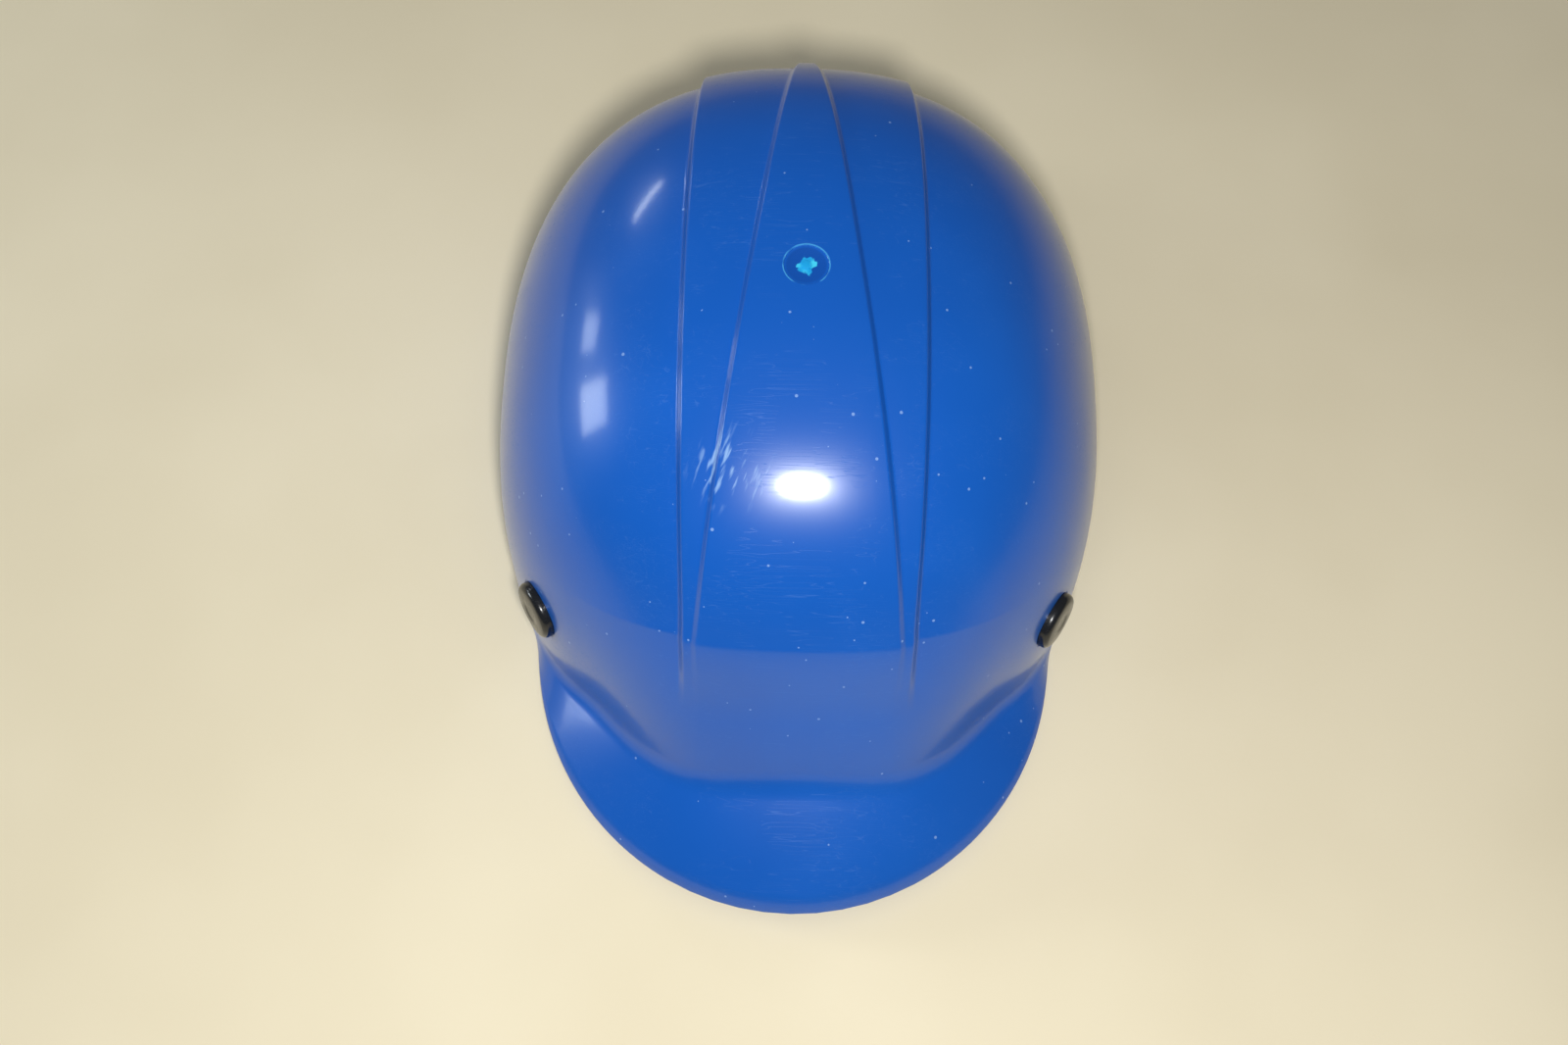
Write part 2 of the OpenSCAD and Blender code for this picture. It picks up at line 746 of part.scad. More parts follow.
module strap(side, top) {
    color(charcoal)
        difference() {
            translate([0, dome_y, 0])
                ribbon(strap_path(side, top), strap_w, strap_t);
            on_front(side)
                stem(stud_hole_d, strap_face - 4, key_face + 2);
            on_rear(-side)
                stem(stud_hole_d, strap_face - 4, key_face + 2);
            crown_place()
                cylinder(d = rivet_d + 2 * stem_gap, h = 30, center = true);
        }
}

// The rivet's frame: on the straps' crossing, at the middle of the upper strap
module crown_place() {
    translate([0, dome_y + cross_y, strap_top])
        children();
}
head_gap = 0.3;
washer_top = -strap_t * 1.5 - strap_gap - head_gap;
module crown_rivet() {
    tip = washer_top - rivet_head_h * 0.6;
    color(black)
        crown_place()
            union() {
                translate([0, 0, strap_t / 2 + head_gap])
                    cylinder(d = rivet_head_d, h = rivet_head_h);
                translate([0, 0, tip])
                    cylinder(d = rivet_d, h = strap_t / 2 + head_gap + 0.5 - tip);
            }
}
module crown_washer() {
    color(black)
        crown_place()
            translate([0, 0, washer_top - rivet_head_h])
                difference() {
                    cylinder(d = rivet_head_d, h = rivet_head_h);
                    translate([0, 0, rivet_head_h * 0.3])
                        cylinder(d = rivet_d + 2 * stem_gap, h = rivet_head_h);
                }
}

shell();
on_front(-1) stud();  // stud_front_left
on_front(1) stud();  // stud_front_right
on_rear(-1) stud();  // stud_rear_left
on_rear(1) stud();  // stud_rear_right
on_front(-1) cap();  // cap_front_left
on_front(1) cap();  // cap_front_right
on_rear(-1) cap();  // cap_rear_left
on_rear(1) cap();  // cap_rear_right
at_front(-1) key(front_lean);  // key_front_left
at_front(1) key(front_lean);  // key_front_right
at_rear(-1) key(rear_lean);  // key_rear_left
at_rear(1) key(rear_lean);  // key_rear_right
strap(-1, strap_top - strap_t - strap_gap);  // strap_lower
strap(1, strap_top);  // strap_upper
crown_rivet();
crown_washer();
headband();
at_front(-1) lug();  // lug_front_left
at_front(1) lug();  // lug_front_right
at_rear(-1) lug();  // lug_rear_left
at_rear(1) lug();  // lug_rear_right
brow_pad();
nape_strap();
knob(-1);  // knob_left
knob(1);  // knob_right
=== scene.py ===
import math

import bmesh
import bpy
import numpy as np
from mathutils import Matrix, Vector


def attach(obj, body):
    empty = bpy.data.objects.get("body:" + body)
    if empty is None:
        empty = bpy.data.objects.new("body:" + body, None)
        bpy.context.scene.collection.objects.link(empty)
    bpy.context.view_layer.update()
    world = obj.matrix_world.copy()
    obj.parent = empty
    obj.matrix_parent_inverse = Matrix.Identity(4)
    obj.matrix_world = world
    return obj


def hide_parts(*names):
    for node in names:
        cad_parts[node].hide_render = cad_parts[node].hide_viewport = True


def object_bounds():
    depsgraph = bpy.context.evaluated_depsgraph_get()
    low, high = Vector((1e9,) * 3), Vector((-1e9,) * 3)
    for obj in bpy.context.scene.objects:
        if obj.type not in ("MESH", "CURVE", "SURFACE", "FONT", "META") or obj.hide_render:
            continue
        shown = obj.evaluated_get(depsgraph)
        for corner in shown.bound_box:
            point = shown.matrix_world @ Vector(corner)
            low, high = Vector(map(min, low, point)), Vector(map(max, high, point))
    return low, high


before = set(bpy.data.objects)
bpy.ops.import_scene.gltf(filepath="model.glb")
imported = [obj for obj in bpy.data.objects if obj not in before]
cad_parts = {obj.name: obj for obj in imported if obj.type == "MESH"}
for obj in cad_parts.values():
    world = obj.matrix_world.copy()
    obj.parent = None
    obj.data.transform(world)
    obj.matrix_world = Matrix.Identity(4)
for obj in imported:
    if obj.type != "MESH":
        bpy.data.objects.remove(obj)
cad_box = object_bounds()


# ---- The moulded shell -------------------------------------------------------------------------
# One injection-moulded polyethylene shell with the same wall all over. A raised band with a wedge
# on it stiffens the crown, and the leaning front wall turns out into a short arched peak. Its free
# edges are rounded, four round seats are sunk for the studs, and the gate's mark is left.

half_width, front_reach, rear_reach, dome_height = 103.0, 118.0, 119.0, 134.0
plan_power, rise_power, wall = 2.4, 2.8, 2.4
band_rise, band_slope, wedge_rise, wedge_slope = 3.0, 2.0, 1.8, 1.6
band_half_width, wedge_tip_y, wedge_flare, wedge_fade, fade_height = 35.5, 106, 0.136, 36, 88
peak_reach, peak_half_width, peak_length, peak_lift = 49.0, 90.0, 96.0, 14.0
peak_pitch, peak_arch, root_radius, root_slope, lip_drop = 0.46, 40, 8, 0.44, 2.6
brow_height, brow_lean, brow_half_width, crease_height, crease_rise = 92, 0.36, 70, 89, 1.1
fan_y, gate_y, gate_radius = -22, -2, 6.88
stud_height, stud_front, stud_rear_x, seat_depth = 44.0, 76.0, 60.0, 0.75
crown_top = dome_height + band_rise + wedge_rise
dome_y = cad_box[1][1] * 1000 - rear_reach - band_rise - wedge_rise
front_turn_end = math.radians(26)


def soft_step(t):
    """0 below t = 0, 1 above t = 1, and 3t^2 - 2t^3 between."""
    t = np.clip(t, 0, 1)
    return t * t * (3 - 2 * t)


def soft_ramp(t, corner=0.07):
    """A straight ramp from 0 to 1 with rounded corners: the difference of two softplus curves."""
    return corner * (np.logaddexp(0, t / corner) - np.logaddexp(0, (t - 1) / corner))


def unit(v):
    """Each vector divided by its own length."""
    return v / np.maximum(np.linalg.norm(v, axis=-1, keepdims=True), 1e-12)


def dome_at(x, turn):
    """The plain dome, where |x/a|^p + |y/b|^p + (z/h)^q = 1. What x leaves of the 1 is shared
    between y and z as cos^p to sin^q of the turn from the front rim (0) to the rear rim (pi)."""
    c, s = np.cos(turn), np.maximum(np.sin(turn), 0)
    left = np.maximum(0, 1 - np.abs(x / half_width) ** plan_power)
    left = left / (np.abs(c) ** plan_power + s ** rise_power)
    reach = np.where(c > 0, front_reach, rear_reach)
    y, z = -reach * c * left ** (1 / plan_power), dome_height * s * left ** (1 / rise_power)
    return np.stack(np.broadcast_arrays(x, y, z), -1)


def dome_normal(p):
    """The gradient of the dome's equation, made one long."""
    x, y, z = p[..., 0], p[..., 1], np.maximum(p[..., 2], 0)
    reach = np.where(y < 0, front_reach, rear_reach)
    return unit(np.stack([
        plan_power * np.sign(x) * np.abs(x / half_width) ** (plan_power - 1) / half_width,
        plan_power * np.sign(y) * np.abs(y / reach) ** (plan_power - 1) / reach,
        rise_power * (z / dome_height) ** (rise_power - 1) / dome_height], -1))


def band_edge(y):
    """Half the band's width: widest a little in front of the middle, and falling as a parabola."""
    return band_half_width - 2.4 * ((y + 5) / 110) ** 2


def wedge_edge(y):
    """Half the wedge's width: straight from its tip at the rear, then held inside the band."""
    return np.minimum(1 + wedge_flare * np.maximum(0, wedge_tip_y - y), band_edge(y) - 4.5)


def line_across(y):
    """Each line's x, where the middle one is at y. From the middle they lie inside the wedge, over
    its slope, along the band, over the band's slope, and then round the side to the rim."""
    w, b = wedge_edge(y)[None, :], band_edge(y)[None, :]
    inside = np.linspace(0, 1, 6)[:, None] * (w - 0.5)
    on_wedge = w + np.array([-0.2, 0.05, 0.25, 0.5, 0.8, 1.1, 1.35, 1.55, 1.8])[:, None]
    along = (w + 2.3) + np.linspace(0, 1, 8)[:, None] * (b - w - 3.6)
    on_band = b + np.array(
        [-0.9, -0.55, -0.35, -0.1, 0.2, 0.5, 0.8, 1.1, 1.35, 1.55, 1.9])[:, None]
    angle = np.radians(72) * (1 - np.linspace(0, 1, 46)[:, None])
    round_side = np.cos(angle) / (
        np.cos(angle) ** plan_power + np.sin(angle) ** rise_power) ** (1 / plan_power)
    round_side = (round_side - round_side[0]) / (1 - round_side[0])
    side = (b + 2.5) + round_side * (half_width - b - 2.5)
    half = np.minimum(np.concatenate([inside, on_wedge, along, on_band, side]), half_width)
    return np.concatenate([-half[:0:-1], half])


def ray_reach(rim):
    """The ray from the fan's point through each point of the rim, and how far the peak's ellipse
    lies beyond it. Within 4 of nothing that is a parabola, so the peak dies out at the sides."""
    ray = unit(np.stack([rim[..., 0], rim[..., 1] - fan_y], -1))
    middle = peak_length - front_reach - peak_reach
    a = (ray[..., 0] / peak_half_width) ** 2 + (ray[..., 1] / peak_length) ** 2
    b = ray[..., 1] * (fan_y - middle) / peak_length ** 2
    c = ((fan_y - middle) / peak_length) ** 2 - 1
    far = (-b + np.sqrt(np.maximum(0, b * b - a * c))) / a
    r = far - np.hypot(rim[..., 0], rim[..., 1] - fan_y)
    return ray, np.where(r <= -4, 0, np.where(r >= 4, r, (r + 4) ** 2 / 16))


def lean_out(x, z):
    """How far the front wall leans out: brow_lean d^2/(d + 25) at d below the brow, full in the
    middle and dying out over the last 50 of the brow's half width."""
    d = np.maximum(0, brow_height - z)
    return brow_lean * d * d / (d + 25) * soft_step((brow_half_width - np.abs(x)) / 50)


def front_rows(x, k):
    """The rows past the dome, for k from 0 to 16: down the leaning wall to 5, round the hollow root
    to 10 and out over the arched peak to 16, as quadratic Bezier curves of outward distance and
    height. The last fifth of the peak turns down by lip_drop more, as the square of the way. What
    the reach sets grows as reach/(reach + n), with its full value in the middle of the peak."""
    rim, top = dome_at(x, np.zeros(1)), dome_at(x, front_turn_end * np.ones(1))[..., 2]
    ray, reach = ray_reach(rim)
    edge = peak_lift * reach / (reach + peak_arch) * (1 + peak_arch / peak_reach)
    root = edge + peak_pitch * reach
    hollow = root_radius * reach / (reach + 18)
    t, s = np.clip((k - 5) / 5, 0, 1), np.clip((k - 10) / 6, 0, 1)
    z_root, middle = root - root_slope * hollow, (hollow + reach) / 2
    z_middle = root - root_slope * middle
    out = np.where(k <= 10, t * t * hollow,
                   (1 - s) ** 2 * hollow + 2 * s * (1 - s) * middle + s * s * reach)
    rise = np.where(
        k <= 5, top + (root + hollow - top) * k / 5, np.where(
            k <= 10, (1 - t) ** 2 * (root + hollow) + 2 * t * (1 - t) * root + t * t * z_root,
            (1 - s) ** 2 * z_root + 2 * s * (1 - s) * z_middle + s * s * edge))
    rise = rise - lip_drop * reach / peak_reach * np.maximum(0, (s - 0.8) / 0.2) ** 2
    grown = reach / (reach + 3) * (1 + 3 / peak_reach)
    z = np.maximum(0, top * (1 - k / 16) * (1 - grown) + rise * grown)
    left = 1 - np.abs(x / half_width) ** plan_power - (z / dome_height) ** rise_power
    y = -front_reach * np.maximum(0, left) ** (1 / plan_power)
    wall_point = np.stack(np.broadcast_arrays(x, y, z), -1)
    away = out * grown + lean_out(x, z) * (1 - out / np.maximum(reach, 1))
    wall_point[..., :2] += ray * away[..., None]
    return wall_point, np.broadcast_to(grown, z.shape)


def shell_grid():
    """The shell's plain face, its normals, and how far each point stands proud of it. Lines run
    from the rear rim over the crown to the peak's edge, as rows of one array. Rows crowd at the
    brow, where a crease rises to crease_rise and falls as the square of the way to 19 above it and
    24 below. The band and the wedge fade out from the fade's height down to the dome's last row."""
    turn = np.linspace(math.pi, front_turn_end, 106)
    ahead = turn[turn < math.pi / 2][::-1]
    brow = np.interp(crease_height, dome_at(np.zeros(1), ahead)[..., 2].ravel(), ahead)
    close = brow + np.radians([-1.2, -0.6, -0.25, 0, 0.25, 0.6, 1.2])
    turn = np.sort(np.append(turn, close))[::-1]
    middle = dome_at(np.zeros(1), turn)
    y, z = middle[..., 1], middle[..., 2]
    x = line_across(y)
    plain = dome_at(x, turn[None, :])
    lean = np.where(turn < math.pi / 2, lean_out(x, plain[..., 2]), 0)
    crease = np.clip(np.where(z > crease_height, (crease_height + 19 - z) / 19,
                              (z - (crease_height - 24)) / 24), 0, 1) ** 2
    crease = crease_rise * crease * (turn < math.pi / 2) * soft_step((78 - np.abs(x)) / 38)
    plain[..., :2] += ray_reach(dome_at(x, np.zeros(1)))[0] * (lean + crease)[..., None]
    k = np.concatenate([np.linspace(0, 5, 19)[1:], np.linspace(5, 10, 23)[1:],
                        np.linspace(10, 16, 29)[1:]])
    ahead, grown = front_rows(line_across(np.array([-front_reach])), k[None, :])
    plain = np.concatenate([plain, ahead], 1)
    bent = np.concatenate([lean / (lean + 0.5), grown], 1)
    analytic = dome_normal(plain)
    measured = np.cross(np.gradient(plain, axis=1), np.gradient(plain, axis=0))
    size = np.linalg.norm(measured, axis=-1, keepdims=True)
    blend = np.where(size > 1e-6, soft_step(bent * 6)[..., None], 0)
    normal = unit(analytic * (1 - blend) + unit(measured) * blend)
    fade = np.where(y > 0, 1, soft_step((z - z[-1]) / (fade_height - z[-1])))
    w, b = wedge_edge(y)[None, :], band_edge(y)[None, :]
    proud = np.zeros(plain.shape[:2])
    proud[:, :turn.size] = fade * (
        band_rise * soft_ramp((b + 1.5 - np.abs(x)) / band_slope)
        + wedge_rise * soft_step((y + front_reach) / wedge_fade)
        * soft_ramp((w + wedge_slope - np.abs(x)) / wedge_slope))
    return plain, normal, proud


def rounded_wall(plain, normal, proud, edge=0.85):
    """Each line made a closed loop: the outer face, a rounded free edge, the inner face a wall's
    thickness behind, and the other free edge. The face first draws back from its ends by the
    edge's radius, along its own run, by an amount that dies away exponentially."""
    run = np.gradient(plain, axis=1)
    step = np.linalg.norm(np.diff(plain, axis=1), axis=-1)
    along = np.concatenate([np.zeros((len(plain), 1)), np.cumsum(step, 1)], 1)
    whole = along[:, -1:]
    flat = whole < 1e-6
    run = np.where(flat[..., None], [0.0, 0.0, -1.0], unit(run))
    draw = edge * (np.exp(-along / (3 * edge)) - np.exp(-(whole - along) / (3 * edge)))
    face = plain + run * draw[..., None]
    face = np.where(flat[..., None], plain + [0, 0, edge], face)
    outer, inner = face + normal * proud[..., None], face + normal * (proud - wall)[..., None]
    a = np.radians(np.linspace(18, 90, 5))[None, :, None]

    def end(row, away):
        away = np.where(flat, [0.0, 0.0, -1.0], away)
        inward = unit(-normal[:, row] + away * np.sum(normal[:, row] * away, -1, keepdims=True))
        p = outer[:, row][:, None]
        near = p + edge * (np.sin(a) * away[:, None] + (1 - np.cos(a)) * inward[:, None])
        p = p + wall * inward[:, None]
        back = p + edge * (np.sin(a) * away[:, None] - (1 - np.cos(a)) * inward[:, None])
        return np.concatenate([near, back[:, ::-1], p], 1)

    front, rear = end(-1, run[:, -1]), end(0, -run[:, 0])
    inner[:, -1], inner[:, 0] = front[:, -1], rear[:, -1]
    loop = np.concatenate([outer, front[:, :-1], inner[:, ::-1], rear[:, -2::-1]], 1)
    loop[..., 2] = np.maximum(loop[..., 2], 0)
    return loop


def grid_mesh(name, points, closed_rows=False, closed_lines=False):
    """A mesh of quads over a grid of points in millimetres, made in metres."""
    lines, rows = points.shape[:2]
    index = np.arange(lines * rows).reshape(lines, rows)
    if closed_rows:
        index = np.concatenate([index, index[:, :1]], 1)
    if closed_lines:
        index = np.concatenate([index, index[:1]], 0)
    quads = np.stack([index[:-1, :-1], index[:-1, 1:], index[1:, 1:], index[1:, :-1]], -1)
    quads = quads.reshape(-1, 4)
    mesh = bpy.data.meshes.new(name)
    mesh.vertices.add(lines * rows)
    mesh.vertices.foreach_set("co", (points.reshape(-1) * 0.001).astype(np.float32))
    mesh.loops.add(quads.size)
    mesh.loops.foreach_set("vertex_index", quads.reshape(-1).astype(np.int32))
    mesh.polygons.add(len(quads))
    mesh.polygons.foreach_set("loop_start", (np.arange(len(quads)) * 4).astype(np.int32))
    mesh.update(calc_edges=True)
    return mesh


def closed_piece(name, mesh, sharp=35):
    """An object of the mesh: its doubles merged, its faces turned outwards and shaded smooth."""
    work = bmesh.new()
    work.from_mesh(mesh)
    bmesh.ops.remove_doubles(work, verts=work.verts, dist=1e-6)
    bmesh.ops.dissolve_degenerate(work, edges=work.edges, dist=1e-7)
    bmesh.ops.recalc_face_normals(work, faces=work.faces)
    work.to_mesh(mesh)
    work.free()
    mesh.polygons.foreach_set("use_smooth", np.ones(len(mesh.polygons), bool))
    mesh.set_sharp_from_angle(angle=math.radians(sharp))
    piece = bpy.data.objects.new(name, mesh)
    bpy.context.scene.collection.objects.link(piece)
    return piece


def lathe(name, profile, place=Matrix(), around=64, wave=None):
    """A closed profile of (radius, height) pairs in millimetres turned about Z, then set in its
    place. A wave gives each profile point's radius change as it goes round."""
    turn = np.linspace(0, 2 * np.pi, around, endpoint=False)[:, None]
    r, z = np.array([p[:2] for p in profile], float).T[:, None, :]
    if wave:
        r = r + wave(turn) * np.array([p[2] if len(p) > 2 else 0 for p in profile])
    points = np.stack(np.broadcast_arrays(r * np.cos(turn), r * np.sin(turn), z), -1)
    mesh = grid_mesh(name, points, closed_lines=True)
    mesh.transform(place)
    return mesh


def cut(piece, cutters):
    """Takes the cutters' solids out of the piece and applies the result to its mesh."""
    for mesh in cutters:
        tool = closed_piece("cutter", mesh)
        change = piece.modifiers.new("cut", "BOOLEAN")
        change.operation, change.solver, change.object = "DIFFERENCE", "MANIFOLD", tool
    shaped = piece.evaluated_get(bpy.context.evaluated_depsgraph_get())
    old, new = piece.data, bpy.data.meshes.new_from_object(shaped)
    tools = [m.object for m in piece.modifiers]
    piece.modifiers.clear()
    new.name = piece.name
    new.materials.clear()
    new.polygons.foreach_set("material_index", np.zeros(len(new.polygons), np.int32))
    piece.data = new
    bpy.data.meshes.remove(old)
    for tool in tools:
        bpy.data.meshes.remove(tool.data)


def wall_seat(x, y, side):
    """The stud's place on the outer face at its height: Z out of the wall, Y up along it."""
    n = dome_normal(np.array([x, y, stud_height]))
    out = Vector((side * n[0], n[1], n[2]))
    across = Vector((0, 0, 1)).cross(out).normalized()
    frame_of_seat = Matrix((across, out.cross(across), out)).transposed().to_4x4()
    foot = Vector((side * x, y + dome_y, stud_height)) * 0.001
    return Matrix.Translation(foot) @ frame_of_seat


level_left = 1 - (stud_height / dome_height) ** rise_power
front_x = half_width * (level_left - (stud_front / front_reach) ** plan_power) ** (1 / plan_power)
rear_y = rear_reach * (level_left - (stud_rear_x / half_width) ** plan_power) ** (1 / plan_power)
front_seat, rear_seat = (front_x, -stud_front), (stud_rear_x, rear_y)
seats = {"front_left": wall_seat(*front_seat, -1), "front_right": wall_seat(*front_seat, 1),
         "rear_left": wall_seat(*rear_seat, -1), "rear_right": wall_seat(*rear_seat, 1)}

loops = rounded_wall(*shell_grid())
loops[..., 1] += dome_y
moulded_shell = closed_piece("moulded_shell", grid_mesh("moulded_shell", loops, closed_rows=True))
gate_at = (0, (dome_y + gate_y) * 0.001, crown_top * 0.001)
cut(moulded_shell, [
    lathe("seat", [(0, -seat_depth), (10.25, -seat_depth), (10.25, 4), (0, 4)], place)
    for place in seats.values()
] + [
    lathe("hole", [(0, -7), (4.2, -7), (4.2, 1), (0, 1)], place) for place in seats.values()
] + [
    lathe("gate", [(0, -0.06), (1.2, -0.08), (1.45, -0.16), (1.6, -0.5), (6.25, -0.5),
                   (6.55, -0.42), (6.72, -0.2), (6.78, -0.05), (7.1, 0.25), (7.1, 5), (0, 5)],
          Matrix.Translation(gate_at))])
moulded_shell.data.set_sharp_from_angle(angle=math.radians(35))


def node(tree, kind, inputs=None, **settings):
    """A new node with its settings, and its inputs set to values or linked from outputs."""
    new = tree.nodes.new(kind)
    for key, value in settings.items():
        setattr(new, key, value)
    for socket, value in (inputs or {}).items():
        if isinstance(value, bpy.types.NodeSocket):
            tree.links.new(value, new.inputs[socket])
        else:
            new.inputs[socket].default_value = value
    return new


def maths(tree, operation, a, b=0.0, c=0.0, clamp=False):
    return node(tree, "ShaderNodeMath", {0: a, 1: b, 2: c}, operation=operation,
                use_clamp=clamp).outputs[0]


def spread(tree, value, low, high, to_low=0.0, to_high=1.0):
    """The value taken smoothly from one range to another, and held at its ends."""
    return node(tree, "ShaderNodeMapRange", {
        "Value": value, "From Min": low, "From Max": high, "To Min": to_low, "To Max": to_high},
        interpolation_type="SMOOTHSTEP").outputs["Result"]


def noise(tree, vector, scale, detail=2.0, rough=0.5):
    return node(tree, "ShaderNodeTexNoise", {
        "Vector": vector, "Scale": scale, "Detail": detail, "Roughness": rough}).outputs["Fac"]


def blend_colour(tree, factor, a, b):
    mix = node(tree, "ShaderNodeMix", {"Factor": factor}, data_type="RGBA")
    for socket, value in ((mix.inputs[6], a), (mix.inputs[7], b)):
        if isinstance(value, bpy.types.NodeSocket):
            tree.links.new(value, socket)
        else:
            socket.default_value = (*value, 1)
    return mix.outputs[2]


def effect(name, numbers, outputs):
    """An empty node group that takes a Vector and named numbers, and its input and output nodes."""
    group = bpy.data.node_groups.new(name, "ShaderNodeTree")
    group.interface.new_socket("Vector", in_out="INPUT", socket_type="NodeSocketVector")
    for key, value in numbers.items():
        socket = group.interface.new_socket(key, in_out="INPUT", socket_type="NodeSocketFloat")
        socket.default_value = value
    for key in outputs:
        group.interface.new_socket(key, in_out="OUTPUT", socket_type="NodeSocketFloat")
    return group, group.nodes.new("NodeGroupInput").outputs, group.nodes.new("NodeGroupOutput")


def use(tree, group, **inputs):
    return node(tree, "ShaderNodeGroup", inputs, node_tree=group).outputs


# Hairline scratches: thin contour lines of noise that is drawn out along three directions
scratches, given, result = effect(
    "hairline_scratches", {"Scale": 1.0, "Width": 0.012, "Cover": 0.5}, ["Mask"])
layers = []
for turn, stretch in (((0.2, 0.1, 0.5), (22, 700, 700)), ((0.1, 0.3, 2.2), (30, 900, 900)),
                      ((-0.2, 0.2, 1.35), (16, 1100, 1100))):
    turned = node(scratches, "ShaderNodeMapping", {
        "Vector": given["Vector"], "Rotation": turn, "Scale": stretch}).outputs[0]
    value = noise(scratches, turned, given["Scale"], 0)
    off = maths(scratches, "ABSOLUTE", maths(scratches, "SUBTRACT", value, 0.5))
    off = maths(scratches, "DIVIDE", off, given["Width"], clamp=True)
    thin = maths(scratches, "SUBTRACT", 1, off)
    patch = noise(scratches, given["Vector"], 30 + 9 * len(layers), 1)
    patch = maths(scratches, "GREATER_THAN", maths(scratches, "ADD", patch, given["Cover"]), 1.05)
    layers.append(maths(scratches, "MULTIPLY", thin, patch))
most = maths(scratches, "MAXIMUM", maths(scratches, "MAXIMUM", *layers[:2]), layers[2])
scratches.links.new(most, result.inputs["Mask"])

# Nicks and specks: small spots in a few of the cells of a cell pattern
specks, given, result = effect(
    "nicks_and_specks", {"Scale": 260.0, "Size": 0.16, "Share": 0.05}, ["Mask"])
cells = node(specks, "ShaderNodeTexVoronoi", {"Vector": given["Vector"], "Scale": given["Scale"]})
chance = node(specks, "ShaderNodeSeparateColor", {0: cells.outputs["Color"]}).outputs
kept = maths(specks, "LESS_THAN", chance[0], given["Share"])
spot = maths(specks, "LESS_THAN", cells.outputs["Distance"],
             maths(specks, "MULTIPLY", given["Size"], maths(specks, "ADD", chance[1], 0.35)))
specks.links.new(maths(specks, "MULTIPLY", kept, spot), result.inputs["Mask"])


def first(tree, kind):
    """The tree's first node of a type."""
    return next(n for n in tree.nodes if n.type == kind)


def finish_of(name, colour, roughness, bump=None, strength=0.2, distance=0.0005, **constants):
    """A material whose colour, roughness and bump come from the given outputs or plain values."""
    material = bpy.data.materials.get(name)
    tree = material.node_tree
    shader = first(tree, "BSDF_PRINCIPLED")
    for socket, value in (("Base Color", colour), ("Roughness", roughness)):
        if isinstance(value, bpy.types.NodeSocket):
            tree.links.new(value, shader.inputs[socket])
        else:
            shader.inputs[socket].default_value = (*value, 1) if socket == "Base Color" else value
    if bump is not None:
        tree.links.new(node(tree, "ShaderNodeBump", {
            "Height": bump, "Strength": strength, "Distance": distance}).outputs[0],
            shader.inputs["Normal"])
    for key, value in constants.items():
        shader.inputs[key.replace("_", " ")].default_value = value
    return material


def new_material(name):
    material = bpy.data.materials.new(name)
    material.use_nodes = True
    place = node(material.node_tree, "ShaderNodeTexCoord").outputs["Object"]
    return material.node_tree, place


tree, place = new_material("glossy_blue_polyethylene")
clouds = noise(tree, place, 11, 3)
line_marks = use(tree, scratches, Vector=place, Scale=1.0, Width=0.012, Cover=0.50)["Mask"]


def near(point, inner, outer):
    """1 within the inner distance in metres of a point on the shell, and 0 beyond the outer one,
    and the distance itself."""
    off = node(tree, "ShaderNodeVectorMath", {0: place, 1: point}, operation="DISTANCE")
    off = off.outputs["Value"]
    return spread(tree, off, outer, inner), off


# Knocks gather where the band ends at the brow, and at the peak's right edge
y_brow = (dome_y - 99) * 0.001
knocked = maths(tree, "MAXIMUM", near((-0.036, y_brow, 0.091), 0.002, 0.017)[0],
                near((0.036, y_brow, 0.091), 0.002, 0.020)[0])
knocked = maths(tree, "MAXIMUM", knocked,
                near((0.080, (dome_y - 112) * 0.001, 0.010), 0.003, 0.022)[0])
nicks = use(tree, specks, Vector=place, Scale=430.0, Size=0.17,
            Share=maths(tree, "ADD", 0.035, maths(tree, "MULTIPLY", knocked, 0.30)))["Mask"]

# A scuffed patch left of the middle, its strokes drawn out along one direction and lightened near
# white as a painted reflection of light glinting on them
scuffed_glint_patch = near((-0.021, (dome_y - 62) * 0.001, 0.126), 0.003, 0.015)[0]
strokes = noise(tree, node(tree, "ShaderNodeMapping", {
    "Vector": place, "Rotation": (0, 0, math.radians(-24)), "Scale": (0.0015, 0.016, 0.004)},
    vector_type="TEXTURE").outputs[0], 1.0, 2)
scuffs_and_glints = maths(tree, "MULTIPLY", scuffed_glint_patch, spread(tree, strokes, 0.52, 0.68))

# The gate's mark: a painted highlight as a bright ring on the recess's trimmed edge, painted shade
# darkening the recess, and a painted highlight as an angular pale patch on the stub in it
gate_off = near(gate_at, 0, 1)[1]
gate_rim_highlight = maths(tree, "SUBTRACT", 1, maths(
    tree, "DIVIDE", maths(tree, "ABSOLUTE", maths(tree, "SUBTRACT", gate_off, gate_radius * 0.001)),
    0.00030, clamp=True))
gate_rim_highlight = maths(tree, "MULTIPLY", gate_rim_highlight, spread(tree, noise(tree, place, 140, 2), 0.42, 0.56))
gate_recess_shade = spread(tree, gate_off, 0.0064, 0.0056)
from_gate = node(tree, "ShaderNodeVectorMath", {0: place, 1: gate_at}, operation="SUBTRACT")
turned = node(tree, "ShaderNodeMapping", {
    "Vector": from_gate.outputs[0], "Rotation": (0, 0, math.radians(32))}).outputs[0]
sides = node(tree, "ShaderNodeSeparateXYZ", {0: turned})
torn = maths(tree, "MAXIMUM", maths(tree, "ABSOLUTE", sides.outputs["X"]),
             maths(tree, "ABSOLUTE", sides.outputs["Y"]))
torn = maths(tree, "ADD", torn, spread(tree, noise(tree, place, 420, 2), 0.3, 0.7, -0.0006, 0.0006))
outside = spread(tree, sides.outputs["Z"], -0.0019, -0.0014)
